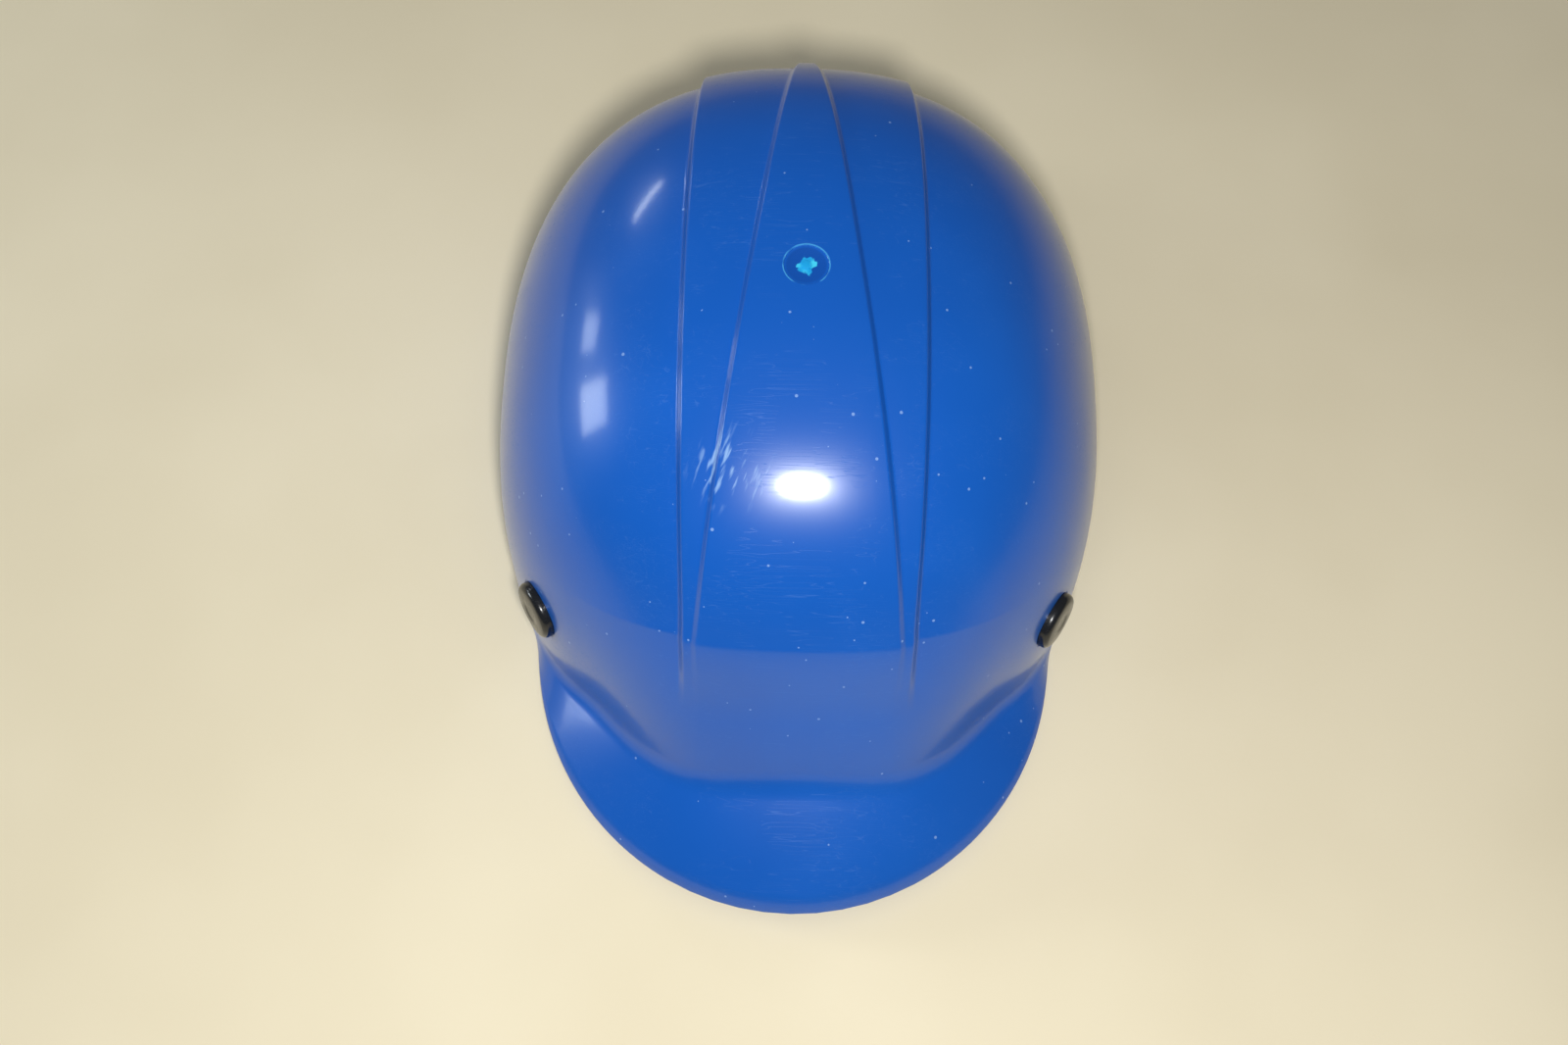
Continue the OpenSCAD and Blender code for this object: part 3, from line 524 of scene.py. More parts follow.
gate_stub_highlight = maths(tree, "MULTIPLY", spread(tree, torn, 0.0027, 0.0022), outside)
gate_rim_highlight = maths(tree, "MULTIPLY", gate_rim_highlight, outside)
gate_recess_shade = maths(tree, "MULTIPLY", gate_recess_shade, outside)

blue = blend_colour(tree, spread(tree, clouds, 0.35, 0.7),
                    (0.0030, 0.093, 0.455), (0.0040, 0.107, 0.505))
blue = blend_colour(tree, maths(tree, "MULTIPLY", line_marks, 0.14), blue, (0.10, 0.26, 0.66))
blue = blend_colour(tree, maths(tree, "MULTIPLY", nicks, 0.5), blue, (0.32, 0.50, 0.82))
# Painted reflection: the scuff strokes lightened near white as a glint on them
blue = blend_colour(tree, maths(tree, "MULTIPLY", scuffs_and_glints, 0.55), blue, (0.42, 0.66, 0.92))
# Painted shade darkens the gate's recess, and painted highlights lighten its rim and its stub
blue = blend_colour(tree, maths(tree, "MULTIPLY", gate_recess_shade, 0.55), blue, (0.002, 0.055, 0.31))
blue = blend_colour(tree, maths(tree, "MULTIPLY", gate_rim_highlight, 0.65), blue, (0.10, 0.52, 0.88))
stub_highlight_colour = blend_colour(tree, spread(tree, noise(tree, place, 300, 1), 0.35, 0.65),
                    (0.010, 0.36, 0.74), (0.06, 0.66, 0.90))
blue = blend_colour(tree, maths(tree, "MULTIPLY", gate_stub_highlight, 0.92), blue, stub_highlight_colour)
gloss = maths(tree, "ADD", spread(tree, clouds, 0.3, 0.8, 0.30, 0.40),
              maths(tree, "MULTIPLY", maths(tree, "MAXIMUM", line_marks, nicks), 0.25))
ripple = maths(tree, "ADD", maths(tree, "MULTIPLY", noise(tree, place, 26, 1), 0.6),
               maths(tree, "MULTIPLY", maths(tree, "ADD", line_marks, scuffs_and_glints), -0.10))
moulded_shell.data.materials.append(finish_of(
    "glossy_blue_polyethylene", blue, gloss, ripple, 0.18, 0.0006,
    IOR=1.51, Specular_IOR_Level=0.3, Coat_Weight=0.5, Coat_Roughness=0.13, Coat_IOR=1.5))
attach(moulded_shell, "root")
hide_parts("shell")


# ---- Studs and their caps ----------------------------------------------------------------------
# Four black acetal studs hang the cradle from the shell. Each has a low round head with a soft
# edge outside, and a stem that a cap closes over on the inside.

tree, place = new_material("black_acetal")
line_marks = use(tree, scratches, Vector=place, Scale=1.6, Width=0.02, Cover=0.5)["Mask"]
nicks = use(tree, specks, Vector=place, Scale=600.0, Size=0.15, Share=0.03)["Mask"]
black = blend_colour(tree, maths(tree, "MULTIPLY", nicks, 0.6),
                     (0.009, 0.010, 0.012), (0.16, 0.17, 0.18))
gloss = maths(tree, "ADD", spread(tree, noise(tree, place, 220, 2), 0.3, 0.7, 0.17, 0.27),
              maths(tree, "MULTIPLY", line_marks, 0.2))
black_acetal = finish_of("black_acetal", black, gloss, noise(tree, place, 500, 2), 0.1, 0.0002)


def black_turning(name, profile, place, around=64, wave=None):
    """A piece of black acetal: a profile turned about its place's Z."""
    piece = closed_piece(name, lathe(name, profile, place, around, wave))
    piece.data.materials.append(black_acetal)
    return piece


for corner, seat in seats.items():
    stem = 0.6 * 4 + 7.3 - seat_depth
    head = [(0, -seat_depth - stem), (3.6, -seat_depth - stem), (4.0, -0.35 - stem),
            (4.0, -seat_depth), (9.55, -seat_depth), (9.75, -0.55), (9.75, 0.55)]
    a = np.radians(np.linspace(0, 78, 9)[1:])
    head += list(zip(7.6 + 2.15 * np.cos(a), 0.7 + 2.15 * np.sin(a)))
    head += [(5.2, 2.97), (3.2, 3.0), (2.9, 2.86), (2.4, 2.82), (0, 2.85)]
    stud = black_turning("stud_head_" + corner, head, seat)
    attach(stud, "root")
    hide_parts("stud_" + corner)


# ---- Caps --------------------------------------------------------------------------------------
# Inside the cap, a stepped black disc is pressed over each stud's stem and holds the key and the
# webbing's end against the wall.

for corner, seat in seats.items():
    cap_profile = [
        (0, -11.3), (5.3, -11.3), (5.75, -11.15), (5.95, -10.8), (6.0, -9.6), (6.3, -9.35),
        (7.4, -9.25), (7.85, -9.1), (8.0, -8.75, 1), (8.0, -7.75, 1), (7.85, -7.42), (7.5, -7.32),
        (4.5, -7.32), (4.2, -7.6), (4.2, -10.1), (0, -10.1)]
    cap = black_turning("cap_disc_" + corner, cap_profile, seat, 96,
                        lambda turn: -0.22 * (1 + np.cos(24 * turn)))
    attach(cap, "root")
    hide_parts("cap_" + corner)


# ---- Hanger keys -------------------------------------------------------------------------------
# Four charcoal nylon brackets hang from the studs. A plate lies by the wall, a shelf with two
# gussets steps inwards, and an upright slot in the drop plate guides the headband's lug.

def softened(name, cad_node, width, cutters=()):
    """A copy of a CAD solid with its triangles merged and its flat faces joined, its edges rounded
    by a bevel of the given width in millimetres, and its normals weighted by face area."""
    piece = closed_piece(name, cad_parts[cad_node].data.copy(), 25)
    piece.data.materials.clear()
    if cutters:
        cut(piece, cutters)
    work = bmesh.new()
    work.from_mesh(piece.data)
    bmesh.ops.dissolve_limit(
        work, angle_limit=math.radians(0.8), verts=work.verts, edges=work.edges)
    work.to_mesh(piece.data)
    work.free()
    rounding = piece.modifiers.new("rounded_edges", "BEVEL")
    rounding.width, rounding.segments, rounding.limit_method = width * 0.001, 2, "ANGLE"
    rounding.angle_limit, rounding.use_clamp_overlap = math.radians(32), True
    piece.modifiers.new("even_normals", "WEIGHTED_NORMAL").keep_sharp = True
    return piece


# Moulded grain: a fine pebbled surface, as spark-eroded tools leave it
grain, given, result = effect("moulded_grain", {"Scale": 1.0}, ["Height", "Cloud"])
fine = noise(grain, given["Vector"], maths(grain, "MULTIPLY", given["Scale"], 2600), 1)
pebble = node(grain, "ShaderNodeTexVoronoi", {
    "Vector": given["Vector"], "Scale": maths(grain, "MULTIPLY", given["Scale"], 1500)}).outputs[0]
grain.links.new(maths(grain, "ADD", fine, maths(grain, "MULTIPLY", pebble, 0.6)),
                result.inputs["Height"])
grain.links.new(noise(grain, given["Vector"], maths(grain, "MULTIPLY", given["Scale"], 38), 4),
                result.inputs["Cloud"])


def moulded_nylon(name, dark, pale, rough):
    """A moulded finish: its colour and roughness drift with the grain's cloud, with faint rubs."""
    tree, place = new_material(name)
    skin = use(tree, grain, Vector=place, Scale=1.0)
    rubs = use(tree, scratches, Vector=place, Scale=1.3, Width=0.014, Cover=0.5)["Mask"]
    colour = blend_colour(tree, spread(tree, skin["Cloud"], 0.35, 0.65), dark, pale)
    colour = blend_colour(tree, maths(tree, "MULTIPLY", rubs, 0.35), colour,
                          tuple(1.9 * c + 0.01 for c in pale))
    gloss = spread(tree, skin["Cloud"], 0.3, 0.7, rough - 0.05, rough + 0.06)
    return finish_of(name, colour, gloss, skin["Height"], 0.22, 0.00012)


charcoal_nylon = moulded_nylon(
    "charcoal_nylon", (0.030, 0.032, 0.036), (0.040, 0.043, 0.048), 0.42)
for corner in seats:
    key = softened("hanger_key_" + corner, "key_" + corner, 0.35)
    key.data.materials.append(charcoal_nylon)
    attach(key, "root")
    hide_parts("key_" + corner)


# ---- Crown straps ------------------------------------------------------------------------------
# Two woven nylon webbings cross under the crown, each from a front key to the opposite rear one.
# Their ends lie on the keys' plates under the caps, with a bar of stitches beside each stud.

def wall_frame(seat_xy, turn, lean, side):
    """The leaning frame of a key on one side: its seat's foot, outward and up vectors."""
    out = np.array([side * np.cos(turn), np.sin(turn)])
    foot = np.array([side * seat_xy[0], seat_xy[1]])
    return lambda depth, up: np.array([
        *(foot + out * (depth * np.cos(lean) - up * np.sin(lean))),
        stud_height + depth * np.sin(lean) + up * np.cos(lean)])


def seat_angles(x, y):
    """The turn of the wall's normal about Z at a seat, and the wall's lean from upright."""
    n = dome_normal(np.array([x, y, stud_height]))
    return math.atan2(n[1], n[0]), math.asin(n[2])


front_turn, front_lean = seat_angles(*front_seat)
rear_turn, rear_lean = seat_angles(*rear_seat)
strap_depth, strap_width, strap_thick, strap_top, leave_up = -6.1 - 0.6, 20.0, 1.2, 108.0, 15
front_start = wall_frame(front_seat, front_turn, front_lean, 1)(strap_depth, leave_up)
rear_start = wall_frame(rear_seat, rear_turn, rear_lean, 1)(strap_depth, leave_up)
cross_share = front_start[0] / (front_start[0] + rear_start[0])
cross_y = front_start[1] + (rear_start[1] - front_start[1]) * cross_share
crown = Matrix.Translation((0, (dome_y + cross_y) * 0.001, strap_top * 0.001))


def even_steps(line, vectors, count):
    """A line walked in even steps, the unit vectors there, and the distances along it."""
    along = np.concatenate([[0], np.cumsum(np.linalg.norm(np.diff(line, axis=0), axis=1))])
    even = np.linspace(0, along[-1], count)
    line, vectors = (np.stack([np.interp(even, along, column) for column in walked.T], -1)
                     for walked in (line, vectors))
    return line, unit(vectors), even


def strap_line(side, top, count=150):
    """The webbing's middle line and its across vectors: up the front key, over in an arch that is
    highest where the straps cross, (1 - off^2.2)^(1/1.4), and down the opposite rear key. The line
    is then walked along in even steps."""
    front = wall_frame(front_seat, front_turn, front_lean, side)
    rear = wall_frame(rear_seat, rear_turn, rear_lean, -side)
    t = (1 - np.cos(np.linspace(0, np.pi, 61))) / 2
    a, b = front(strap_depth, leave_up), rear(strap_depth, leave_up)
    arch = a + (b - a) * t[:, None]
    off = np.abs(np.where(t < cross_share, (cross_share - t) / cross_share,
                          (t - cross_share) / (1 - cross_share)))
    rise = (1 - np.minimum(1, off) ** 2.2) ** (1 / 1.4)
    arch[:, 2] += (top - arch[:, 2]) * rise
    over_front = side * np.array([-side * math.sin(front_turn), math.cos(front_turn), 0])
    over_rear = -side * np.array([side * math.sin(rear_turn), math.cos(rear_turn), 0])
    across = unit(over_front + (over_rear - over_front) * soft_step(t)[:, None])
    line = np.concatenate([[front(strap_depth, u) for u in (-10, 0, 12)], arch,
                           [rear(strap_depth, u) for u in (12, 0, -10)]])
    across = np.concatenate([[over_front] * 3, across, [over_rear] * 3])
    line, across, even = even_steps(line, across, count)
    line[:, 1] += dome_y
    return line, across, even


def swept(name, line, across, out, section, even):
    """A closed section of (across, out) pairs carried along a line, with its ends pinched shut to
    half their thickness and closed. Its UV map holds the distances along and across in metres."""
    u, v = section[..., 0], section[..., 1]
    u, v = (np.broadcast_to(part, (len(line), part.shape[-1])) for part in (u, v))
    points = line[:, None] + across[:, None] * u[..., None] + out[:, None] * v[..., None]
    first = line[:1, None] + across[:1, None] * u[:1, :, None]
    last = line[-1:, None] + across[-1:, None] * u[-1:, :, None]
    points = np.concatenate([first, points, last])
    even = np.concatenate([even[:1], even, even[-1:]])
    mesh = grid_mesh(name, points, closed_rows=True)
    lines, rows = points.shape[:2]
    index = np.zeros(len(mesh.loops), np.int32)
    mesh.loops.foreach_get("vertex_index", index)
    wide = np.concatenate([u[:1], u, u[-1:]]).reshape(-1)
    uv = np.stack([even[index // rows], wide[index]], -1) * 0.001
    mesh.uv_layers.new(name="distance").data.foreach_set("uv", uv.reshape(-1).astype(np.float32))
    return mesh


def flat_section(width, thick, count=40):
    """A flat band's section: a superellipse of power 8 across and 2.6 through."""
    turn = np.linspace(0, 2 * np.pi, count, endpoint=False)
    c, s = np.round(np.cos(turn), 9), np.round(np.sin(turn), 9)
    return np.stack([width / 2 * np.sign(c) * np.abs(c) ** (2 / 8),
                     thick / 2 * np.sign(s) * np.abs(s) ** (2 / 2.6)], -1)


def along_and_across(tree):
    """The distances along and across a swept piece, from its UV map."""
    distance = node(tree, "ShaderNodeUVMap", uv_map="distance").outputs[0]
    return node(tree, "ShaderNodeSeparateXYZ", {0: distance}).outputs[:2]


# Webbing: a plain weave of thick warp ribs, from the distances along and across the strap. Its grey
# is darkened towards the weave's low places as painted shade.
tree, place = new_material("grey_nylon_webbing")
apart = along_and_across(tree)
warp = maths(tree, "MULTIPLY", apart[1], 2 * math.pi / 0.00125)
weft = maths(tree, "MULTIPLY", apart[0], 2 * math.pi / 0.0021)
over = maths(tree, "MULTIPLY", maths(tree, "SINE", maths(tree, "MULTIPLY", warp, 0.5)),
             maths(tree, "SINE", weft))
rib = maths(tree, "ABSOLUTE", maths(tree, "SINE", maths(tree, "MULTIPLY", warp, 0.5)))
weave_height_and_shade = maths(tree, "ADD", maths(tree, "MULTIPLY", rib, 0.6), maths(tree, "MULTIPLY", over, 0.35))
fuzz = noise(tree, place, 900, 3)
cloud = noise(tree, place, 60, 3)
worn = maths(tree, "ADD", maths(tree, "MULTIPLY", fuzz, 0.6), maths(tree, "MULTIPLY", cloud, 0.4))
# Painted shade: the thread darkened where the weave lies low
thread = blend_colour(tree, spread(tree, weave_height_and_shade, 0.0, 0.7),
                      (0.030, 0.032, 0.036), (0.16, 0.165, 0.175))
thread = blend_colour(tree, spread(tree, worn, 0.4, 0.7, 0.0, 0.35), thread, (0.26, 0.265, 0.275))
webbing = finish_of("grey_nylon_webbing", thread, spread(tree, fuzz, 0.3, 0.7, 0.62, 0.78),
                    maths(tree, "ADD", weave_height_and_shade, maths(tree, "MULTIPLY", fuzz, 0.25)), 0.5, 0.0004,
                    Sheen_Weight=0.25, Sheen_Roughness=0.4)
tree, place = new_material("black_thread")
thread = blend_colour(tree, noise(tree, place, 700, 2), (0.012, 0.012, 0.014), (0.04, 0.04, 0.045))
black_thread = finish_of("black_thread", thread, 0.6, noise(tree, place, 2400, 2), 0.4, 0.0002)


def stitches(name, middles, runs, outs, length, thick=0.42):
    """Short capsules of thread, one for each middle, lying along its run: a superellipsoid whose
    ends dip along -out as the square of the way from its middle."""
    a, b = np.meshgrid(np.linspace(-np.pi / 2, np.pi / 2, 7),
                       np.linspace(0, 2 * np.pi, 6, endpoint=False), indexing="ij")
    along, round_ = np.sin(a), np.sign(np.cos(a)) * np.abs(np.cos(a)) ** 0.5
    side = unit(np.cross(outs, runs))
    points = (middles[:, None, None] + runs[:, None, None] * (along * length / 2)[None, ..., None]
              + side[:, None, None] * (round_ * np.cos(b) * thick / 2)[None, ..., None]
              + outs[:, None, None] * (round_ * np.sin(b) * thick / 2 + 0.25 * thick
                                       - 0.6 * thick * along ** 2)[None, ..., None])
    rings, around = a.shape
    index = np.arange(points.shape[0] * rings * around).reshape(-1, rings, around)
    index = np.concatenate([index, index[:, :, :1]], 2)
    quads = np.stack([index[:, :-1, :-1], index[:, 1:, :-1],
                      index[:, 1:, 1:], index[:, :-1, 1:]], -1)
    mesh = bpy.data.meshes.new(name)
    mesh.from_pydata((points.reshape(-1, 3) * 0.001).tolist(), [], quads.reshape(-1, 4).tolist())
    piece = closed_piece(name, mesh, 60)
    piece.data.materials.append(black_thread)
    return piece


for label, side, top in (("lower", -1, strap_top - 2.0), ("upper", 1, strap_top)):
    line, across, even = strap_line(side, top)
    out = unit(np.cross(np.gradient(line, axis=0), across))
    out = out if out[len(out) // 2, 2] > 0 else -out
    strap = closed_piece("webbing_strap_" + label, swept(
        "webbing_strap_" + label, line, across, out, flat_section(strap_width, strap_thick), even))
    ends = ("front_left", "rear_right") if side < 0 else ("front_right", "rear_left")
    cut(strap, [lathe("eyelet", [(0, -14), (4.2, -14), (4.2, -3), (0, -3)], seats[corner], 32)
                for corner in ends] + [
        lathe("eyelet", [(0, -9), (2.7, -9), (2.7, 9), (0, 9)], crown, 32)])
    strap.data.materials.append(webbing)
    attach(strap, "root")
    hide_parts("strap_" + label)
    rows = []
    for start, sign in ((31.0, 1), (even[-1] - 31.0, -1)):
        for step in (0, 1.3, 2.6, 9.0, 10.3, 11.6):
            at = np.array([np.interp(start + sign * step, even, line[:, i]) for i in range(3)])
            k = int(np.searchsorted(even, start + sign * step))
            for u in np.linspace(-7.6, 7.6, 6):
                rows.append((at + across[k] * u - out[k] * strap_thick / 2, across[k], -out[k]))
    rows = [np.array(column) for column in zip(*rows)]
    sewn = stitches("strap_thread_" + label, *rows, 2.5)
    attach(sewn, "root")


# ---- Crown rivet and washer --------------------------------------------------------------------
# A flat-headed black rivet holds the two straps together where they cross. Its shank goes through
# the eyelets of both and is closed over a recessed washer below.

washer_top = -1.2 * 1.5 - 0.8 - 0.3
for name, cad_node, profile in (
    ("crown_rivet_head", "crown_rivet", [
        (0, washer_top - 1.08), (2.2, washer_top - 1.08), (2.5, washer_top - 0.8), (2.5, 0.9),
        (6.7, 0.9), (6.95, 1.1), (6.9, 1.5), (6.3, 2.1), (5.0, 2.5), (3.0, 2.68), (2.4, 2.6),
        (1.8, 2.45), (0, 2.42)]),
    ("crown_rivet_washer", "crown_washer", [
        (0, washer_top - 1.8), (5.9, washer_top - 1.8), (6.6, washer_top - 1.6),
        (7.0, washer_top - 1.1), (7.0, washer_top - 0.2), (6.8, washer_top), (2.7, washer_top),
        (2.7, washer_top - 1.26), (0, washer_top - 1.26)])):
    turned = black_turning(name, profile, crown)
    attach(turned, "root")
    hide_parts(cad_node)


# ---- Headband ----------------------------------------------------------------------------------
# A flat charcoal nylon band, high at the brow and lower at the sides. It is vented with upright
# slots above the ears, and a long slot on each side takes the size knob.

def band_path(start, stop, inset, count):
    """Even steps along the headband's line, as points and outward normals: half ellipses in front
    and behind that run square past the keys, joined by straight sides."""
    joins = [v for v in (-89.99, -90.01, 89.99, 90.01) if start < v < stop]
    turns = np.radians(np.sort(np.concatenate([np.linspace(start, stop, 500), joins])))
    front = np.cos(turns) > 0
    length = np.where(front, arcs["front"][0], arcs["rear"][0])
    middle = np.where(front, arcs["front"][1], arcs["rear"][1])
    flat = np.zeros(turns.size)
    n = unit(np.stack([length * np.sin(turns), -band_half_out * np.cos(turns), flat], -1))
    p = np.stack([band_half_out * np.sin(turns), middle - length * np.cos(turns), flat], -1)
    points, normals, even = even_steps(p - n * inset, n, count)
    points[:, 1] += dome_y
    return points, normals, even


# The half ellipses: each one's length and its middle, for a half width of band_half_out
band_half_out, band_middle_z, seat_to_band = 80.8, 15.5, 19.0
arcs = {}
for part, (x, y), turn in (("front", front_seat, front_turn), ("rear", rear_seat, rear_turn)):
    x, y = x - seat_to_band * math.cos(turn), y - seat_to_band * math.sin(turn)
    k = x / band_half_out
    length = math.sqrt(1 - k * k) * band_half_out / (abs(math.tan(turn)) * k)
    arcs[part] = (length, y - math.copysign(1, y) * math.sqrt(1 - k * k) * length)

points, normals, even = band_path(-150, 150, 0.8, 400)
vents = []
for share in (*np.linspace(0.325, 0.405, 6), *np.linspace(0.595, 0.675, 6)):
    k = int(share * 399)
    turn = math.atan2(normals[k, 1], normals[k, 0])
    slot = bmesh.new()
    bmesh.ops.create_cone(
        slot, cap_ends=True, segments=24, radius1=0.0014, radius2=0.0014, depth=0.01)
    for vertex in slot.verts:
        vertex.co.y += 0.005 if vertex.co.y > 1e-6 else -0.005 if vertex.co.y < -1e-6 else 0
    mesh = bpy.data.meshes.new("vent")
    slot.to_mesh(mesh)
    slot.free()
    mesh.transform(Matrix.Translation((*points[k, :2] * 0.001, band_middle_z * 0.001))
                   @ Matrix.Rotation(turn, 4, "Z") @ Matrix.Rotation(math.pi / 2, 4, "Y")
                   @ Matrix.Rotation(math.pi / 2, 4, "Z"))
    vents.append(mesh)
headband = softened("cradle_headband", "headband", 0.3, vents)
headband.data.materials.append(charcoal_nylon)
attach(headband, "headband")
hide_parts("headband")


# ---- Lugs --------------------------------------------------------------------------------------
# Four black buttons snapped through the headband carry it. Each one's neck rides in a key's slot,
# and its head lies inside the band.

for corner in seats:
    seat_xy, turn = (front_seat, front_turn) if "front" in corner else (rear_seat, rear_turn)
    side = -1 if "left" in corner else 1
    out = Vector((side * math.cos(turn), math.sin(turn), 0))
    across = Vector((0, 0, 1)).cross(out)
    foot = Vector((side * seat_xy[0], seat_xy[1] + dome_y, band_middle_z)) * 0.001
    lug_place = Matrix.Translation(foot) @ (
        Matrix((across, Vector((0, 0, 1)), out)).transposed().to_4x4())
    head = -16.5 + 0.35
    profile = [(0, -20.6), (2.7, -20.6), (3.0, -20.3), (3.0, head), (5.3, head),
               (5.5, head + 0.25), (5.4, head + 0.9), (4.8, head + 1.5), (3.4, head + 1.78),
               (2.0, head + 1.8), (1.7, head + 1.6), (0, head + 1.55)]
    lug = black_turning("slide_lug_" + corner, profile, lug_place, 48)
    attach(lug, "headband")
    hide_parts("lug_" + corner)


# ---- Brow pad ----------------------------------------------------------------------------------
# A foam strip in perforated black vinyl lines the brow. It is sewn all round and in upright
# channels, so that it stands up in soft cushions between them.

pad_z, pad_height, pad_thick, channel, most_shift = 19.0, 27.0, 5.0, 23.5, 1.1
points, normals, even = band_path(-57.5, 57.5, 1.9 + pad_thick / 2, 330)
points[:, 2] = pad_z
off_channel = np.abs((even - even[-1] / 2 + channel / 2) % channel - channel / 2)
turn = np.linspace(0, 2 * np.pi, 48, endpoint=False)
c, s = np.cos(turn), np.sin(turn)
end_fade = np.minimum(1, np.minimum(even, even[-1] - even) / 5.0)
end_round = np.sqrt(np.maximum(0.02, 1 - (1 - end_fade) ** 2))[:, None]
plump = (1 - 0.5 * np.exp(-(off_channel / 1.5) ** 2))[:, None] * end_round
u = pad_height / 2 * np.sign(c) * np.abs(c) ** 0.5 * (0.90 + 0.10 * end_round)
face = np.sign(s) * np.abs(s) ** 0.75
v = np.where(face > 0, 0.46, 0.42 * plump) * pad_thick * face
edge_pinch = 1 - 0.55 * soft_step((np.abs(u) - 9.6) / 3.2)
v = v * edge_pinch
pad_mesh = swept("sewn_brow_pad", points, np.tile([0.0, 0, 1], (len(points), 1)), normals,
                 np.stack([u, v], -1), even)
brow_pad = closed_piece("sewn_brow_pad", pad_mesh, 60)
start = np.zeros(len(brow_pad.data.vertices) * 3)
brow_pad.data.vertices.foreach_get("co", start)
start = start.reshape(-1, 3)
shape = np.array([vertex.co for vertex in brow_pad.data.vertices]) * 1000
nearest = np.argmin(np.hypot(shape[:, None, 0] - points[None, :, 0],
                             shape[:, None, 1] - points[None, :, 1]), 1)
depth = np.sum((shape - points[nearest]) * normals[nearest], 1)
held = np.maximum(np.exp(-(off_channel[nearest] / 1.1) ** 2), soft_step((depth + 0.2) / 0.8))
held = np.maximum(held, soft_step((np.abs(shape[:, 2] - pad_z) - 11.2) / 1.0))
pins = brow_pad.vertex_groups.new(name="sewn")
for level in range(1, 11):
    members = np.flatnonzero(np.round(held * 10) == level)
    pins.add(members.tolist(), level / 10, "REPLACE")
cloth = brow_pad.modifiers.new("cover", "CLOTH")
cloth.settings.quality = 6
cloth.settings.mass = 0.2
cloth.settings.use_pressure = True
cloth.settings.uniform_pressure_force = 5
cloth.settings.vertex_group_mass = "sewn"
cloth.settings.shrink_min = -0.035
cloth.settings.tension_stiffness = cloth.settings.compression_stiffness = 12
cloth.settings.effector_weights.gravity = 0
cloth.point_cache.frame_start, cloth.point_cache.frame_end = 1, 20
for step in range(1, 21):
    bpy.context.scene.frame_set(step)
shaped = brow_pad.evaluated_get(bpy.context.evaluated_depsgraph_get())
moved = np.zeros(start.size)
shaped.data.vertices.foreach_get("co", moved)
shift = moved.reshape(-1, 3) - start
reach = np.linalg.norm(shift, axis=1, keepdims=True)
shift = shift * np.minimum(1, most_shift * 0.001 / np.maximum(reach, 1e-9))
brow_pad.modifiers.clear()
bpy.context.scene.frame_set(1)
brow_pad.data.vertices.foreach_set("co", (start + shift).reshape(-1).astype(np.float32))
brow_pad.data.update()

tree, place = new_material("perforated_vinyl")
# The perforations' mask, used for their dent and for their painted shade
cell = [maths(tree, "SUBTRACT", maths(tree, "FRACT", maths(tree, "DIVIDE", part, 0.0029)), 0.5)
        for part in along_and_across(tree)]
hole = maths(tree, "SQRT", maths(tree, "ADD", maths(tree, "MULTIPLY", cell[0], cell[0]),
                                 maths(tree, "MULTIPLY", cell[1], cell[1])))
hole = spread(tree, hole, 0.17, 0.12)
skin = use(tree, grain, Vector=place, Scale=0.6)
vinyl = blend_colour(tree, spread(tree, skin["Cloud"], 0.35, 0.65),
                     (0.016, 0.016, 0.018), (0.028, 0.028, 0.031))
# Painted shade: each perforation darkened to near black
vinyl = blend_colour(tree, maths(tree, "MULTIPLY", hole, 0.9), vinyl, (0.002, 0.002, 0.002))
brow_pad.data.materials.append(finish_of(
    "perforated_vinyl", vinyl, spread(tree, skin["Cloud"], 0.3, 0.7, 0.42, 0.55),
    maths(tree, "SUBTRACT", maths(tree, "MULTIPLY", skin["Height"], 0.35), hole), 0.4, 0.0004))
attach(brow_pad, "headband")
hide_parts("brow_pad")

rows = []
for level in (-11.4, 11.4):
    for k in range(10, 320, 5):
        rows.append((points[k] + [0, 0, level] - normals[k] * 1.18,
                     unit(points[k + 1] - points[k - 1]), -normals[k]))
nearer = (off_channel[1:-1] < off_channel[:-2]) & (off_channel[1:-1] <= off_channel[2:])
for k in np.flatnonzero(nearer) + 1:
    if 12 < k < 318:
        for level in np.linspace(-9.2, 9.2, 8):
            rows.append((points[k] + [0, 0, level] - normals[k] * 1.02,
                         np.array([0, 0, 1.0]), -normals[k]))
rows = [np.array(column) for column in zip(*rows)]
pad_thread = stitches("brow_pad_thread", *rows, 1.9)
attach(pad_thread, "headband")


# ---- Nape strap --------------------------------------------------------------------------------
# A flexible charcoal nylon strap slides inside the headband's ends. Its face has a row of small
# round size holes, and it is held by the knobs at its two ends.

points, normals, even = band_path(125, 235, 2.9, 200)
holes = [lathe("hole", [(0, -4), (1.3, -4), (1.3, 4), (0, 4)],
               Matrix.Translation((*points[k, :2] * 0.001, band_middle_z * 0.001))
               @ Vector((0, 0, 1)).rotation_difference(Vector(normals[k])).to_matrix().to_4x4(), 20)
         for k in range(14, 190, 9)]
nape = softened("nape_size_strap", "nape_strap", 0.3, holes)
nape.data.materials.append(charcoal_nylon)
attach(nape, "nape")
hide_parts("nape_strap")


# ---- Size knobs --------------------------------------------------------------------------------
# A knurled black knob on each side clamps the nape strap in the headband's slot. It slides along
# the slot with the strap.

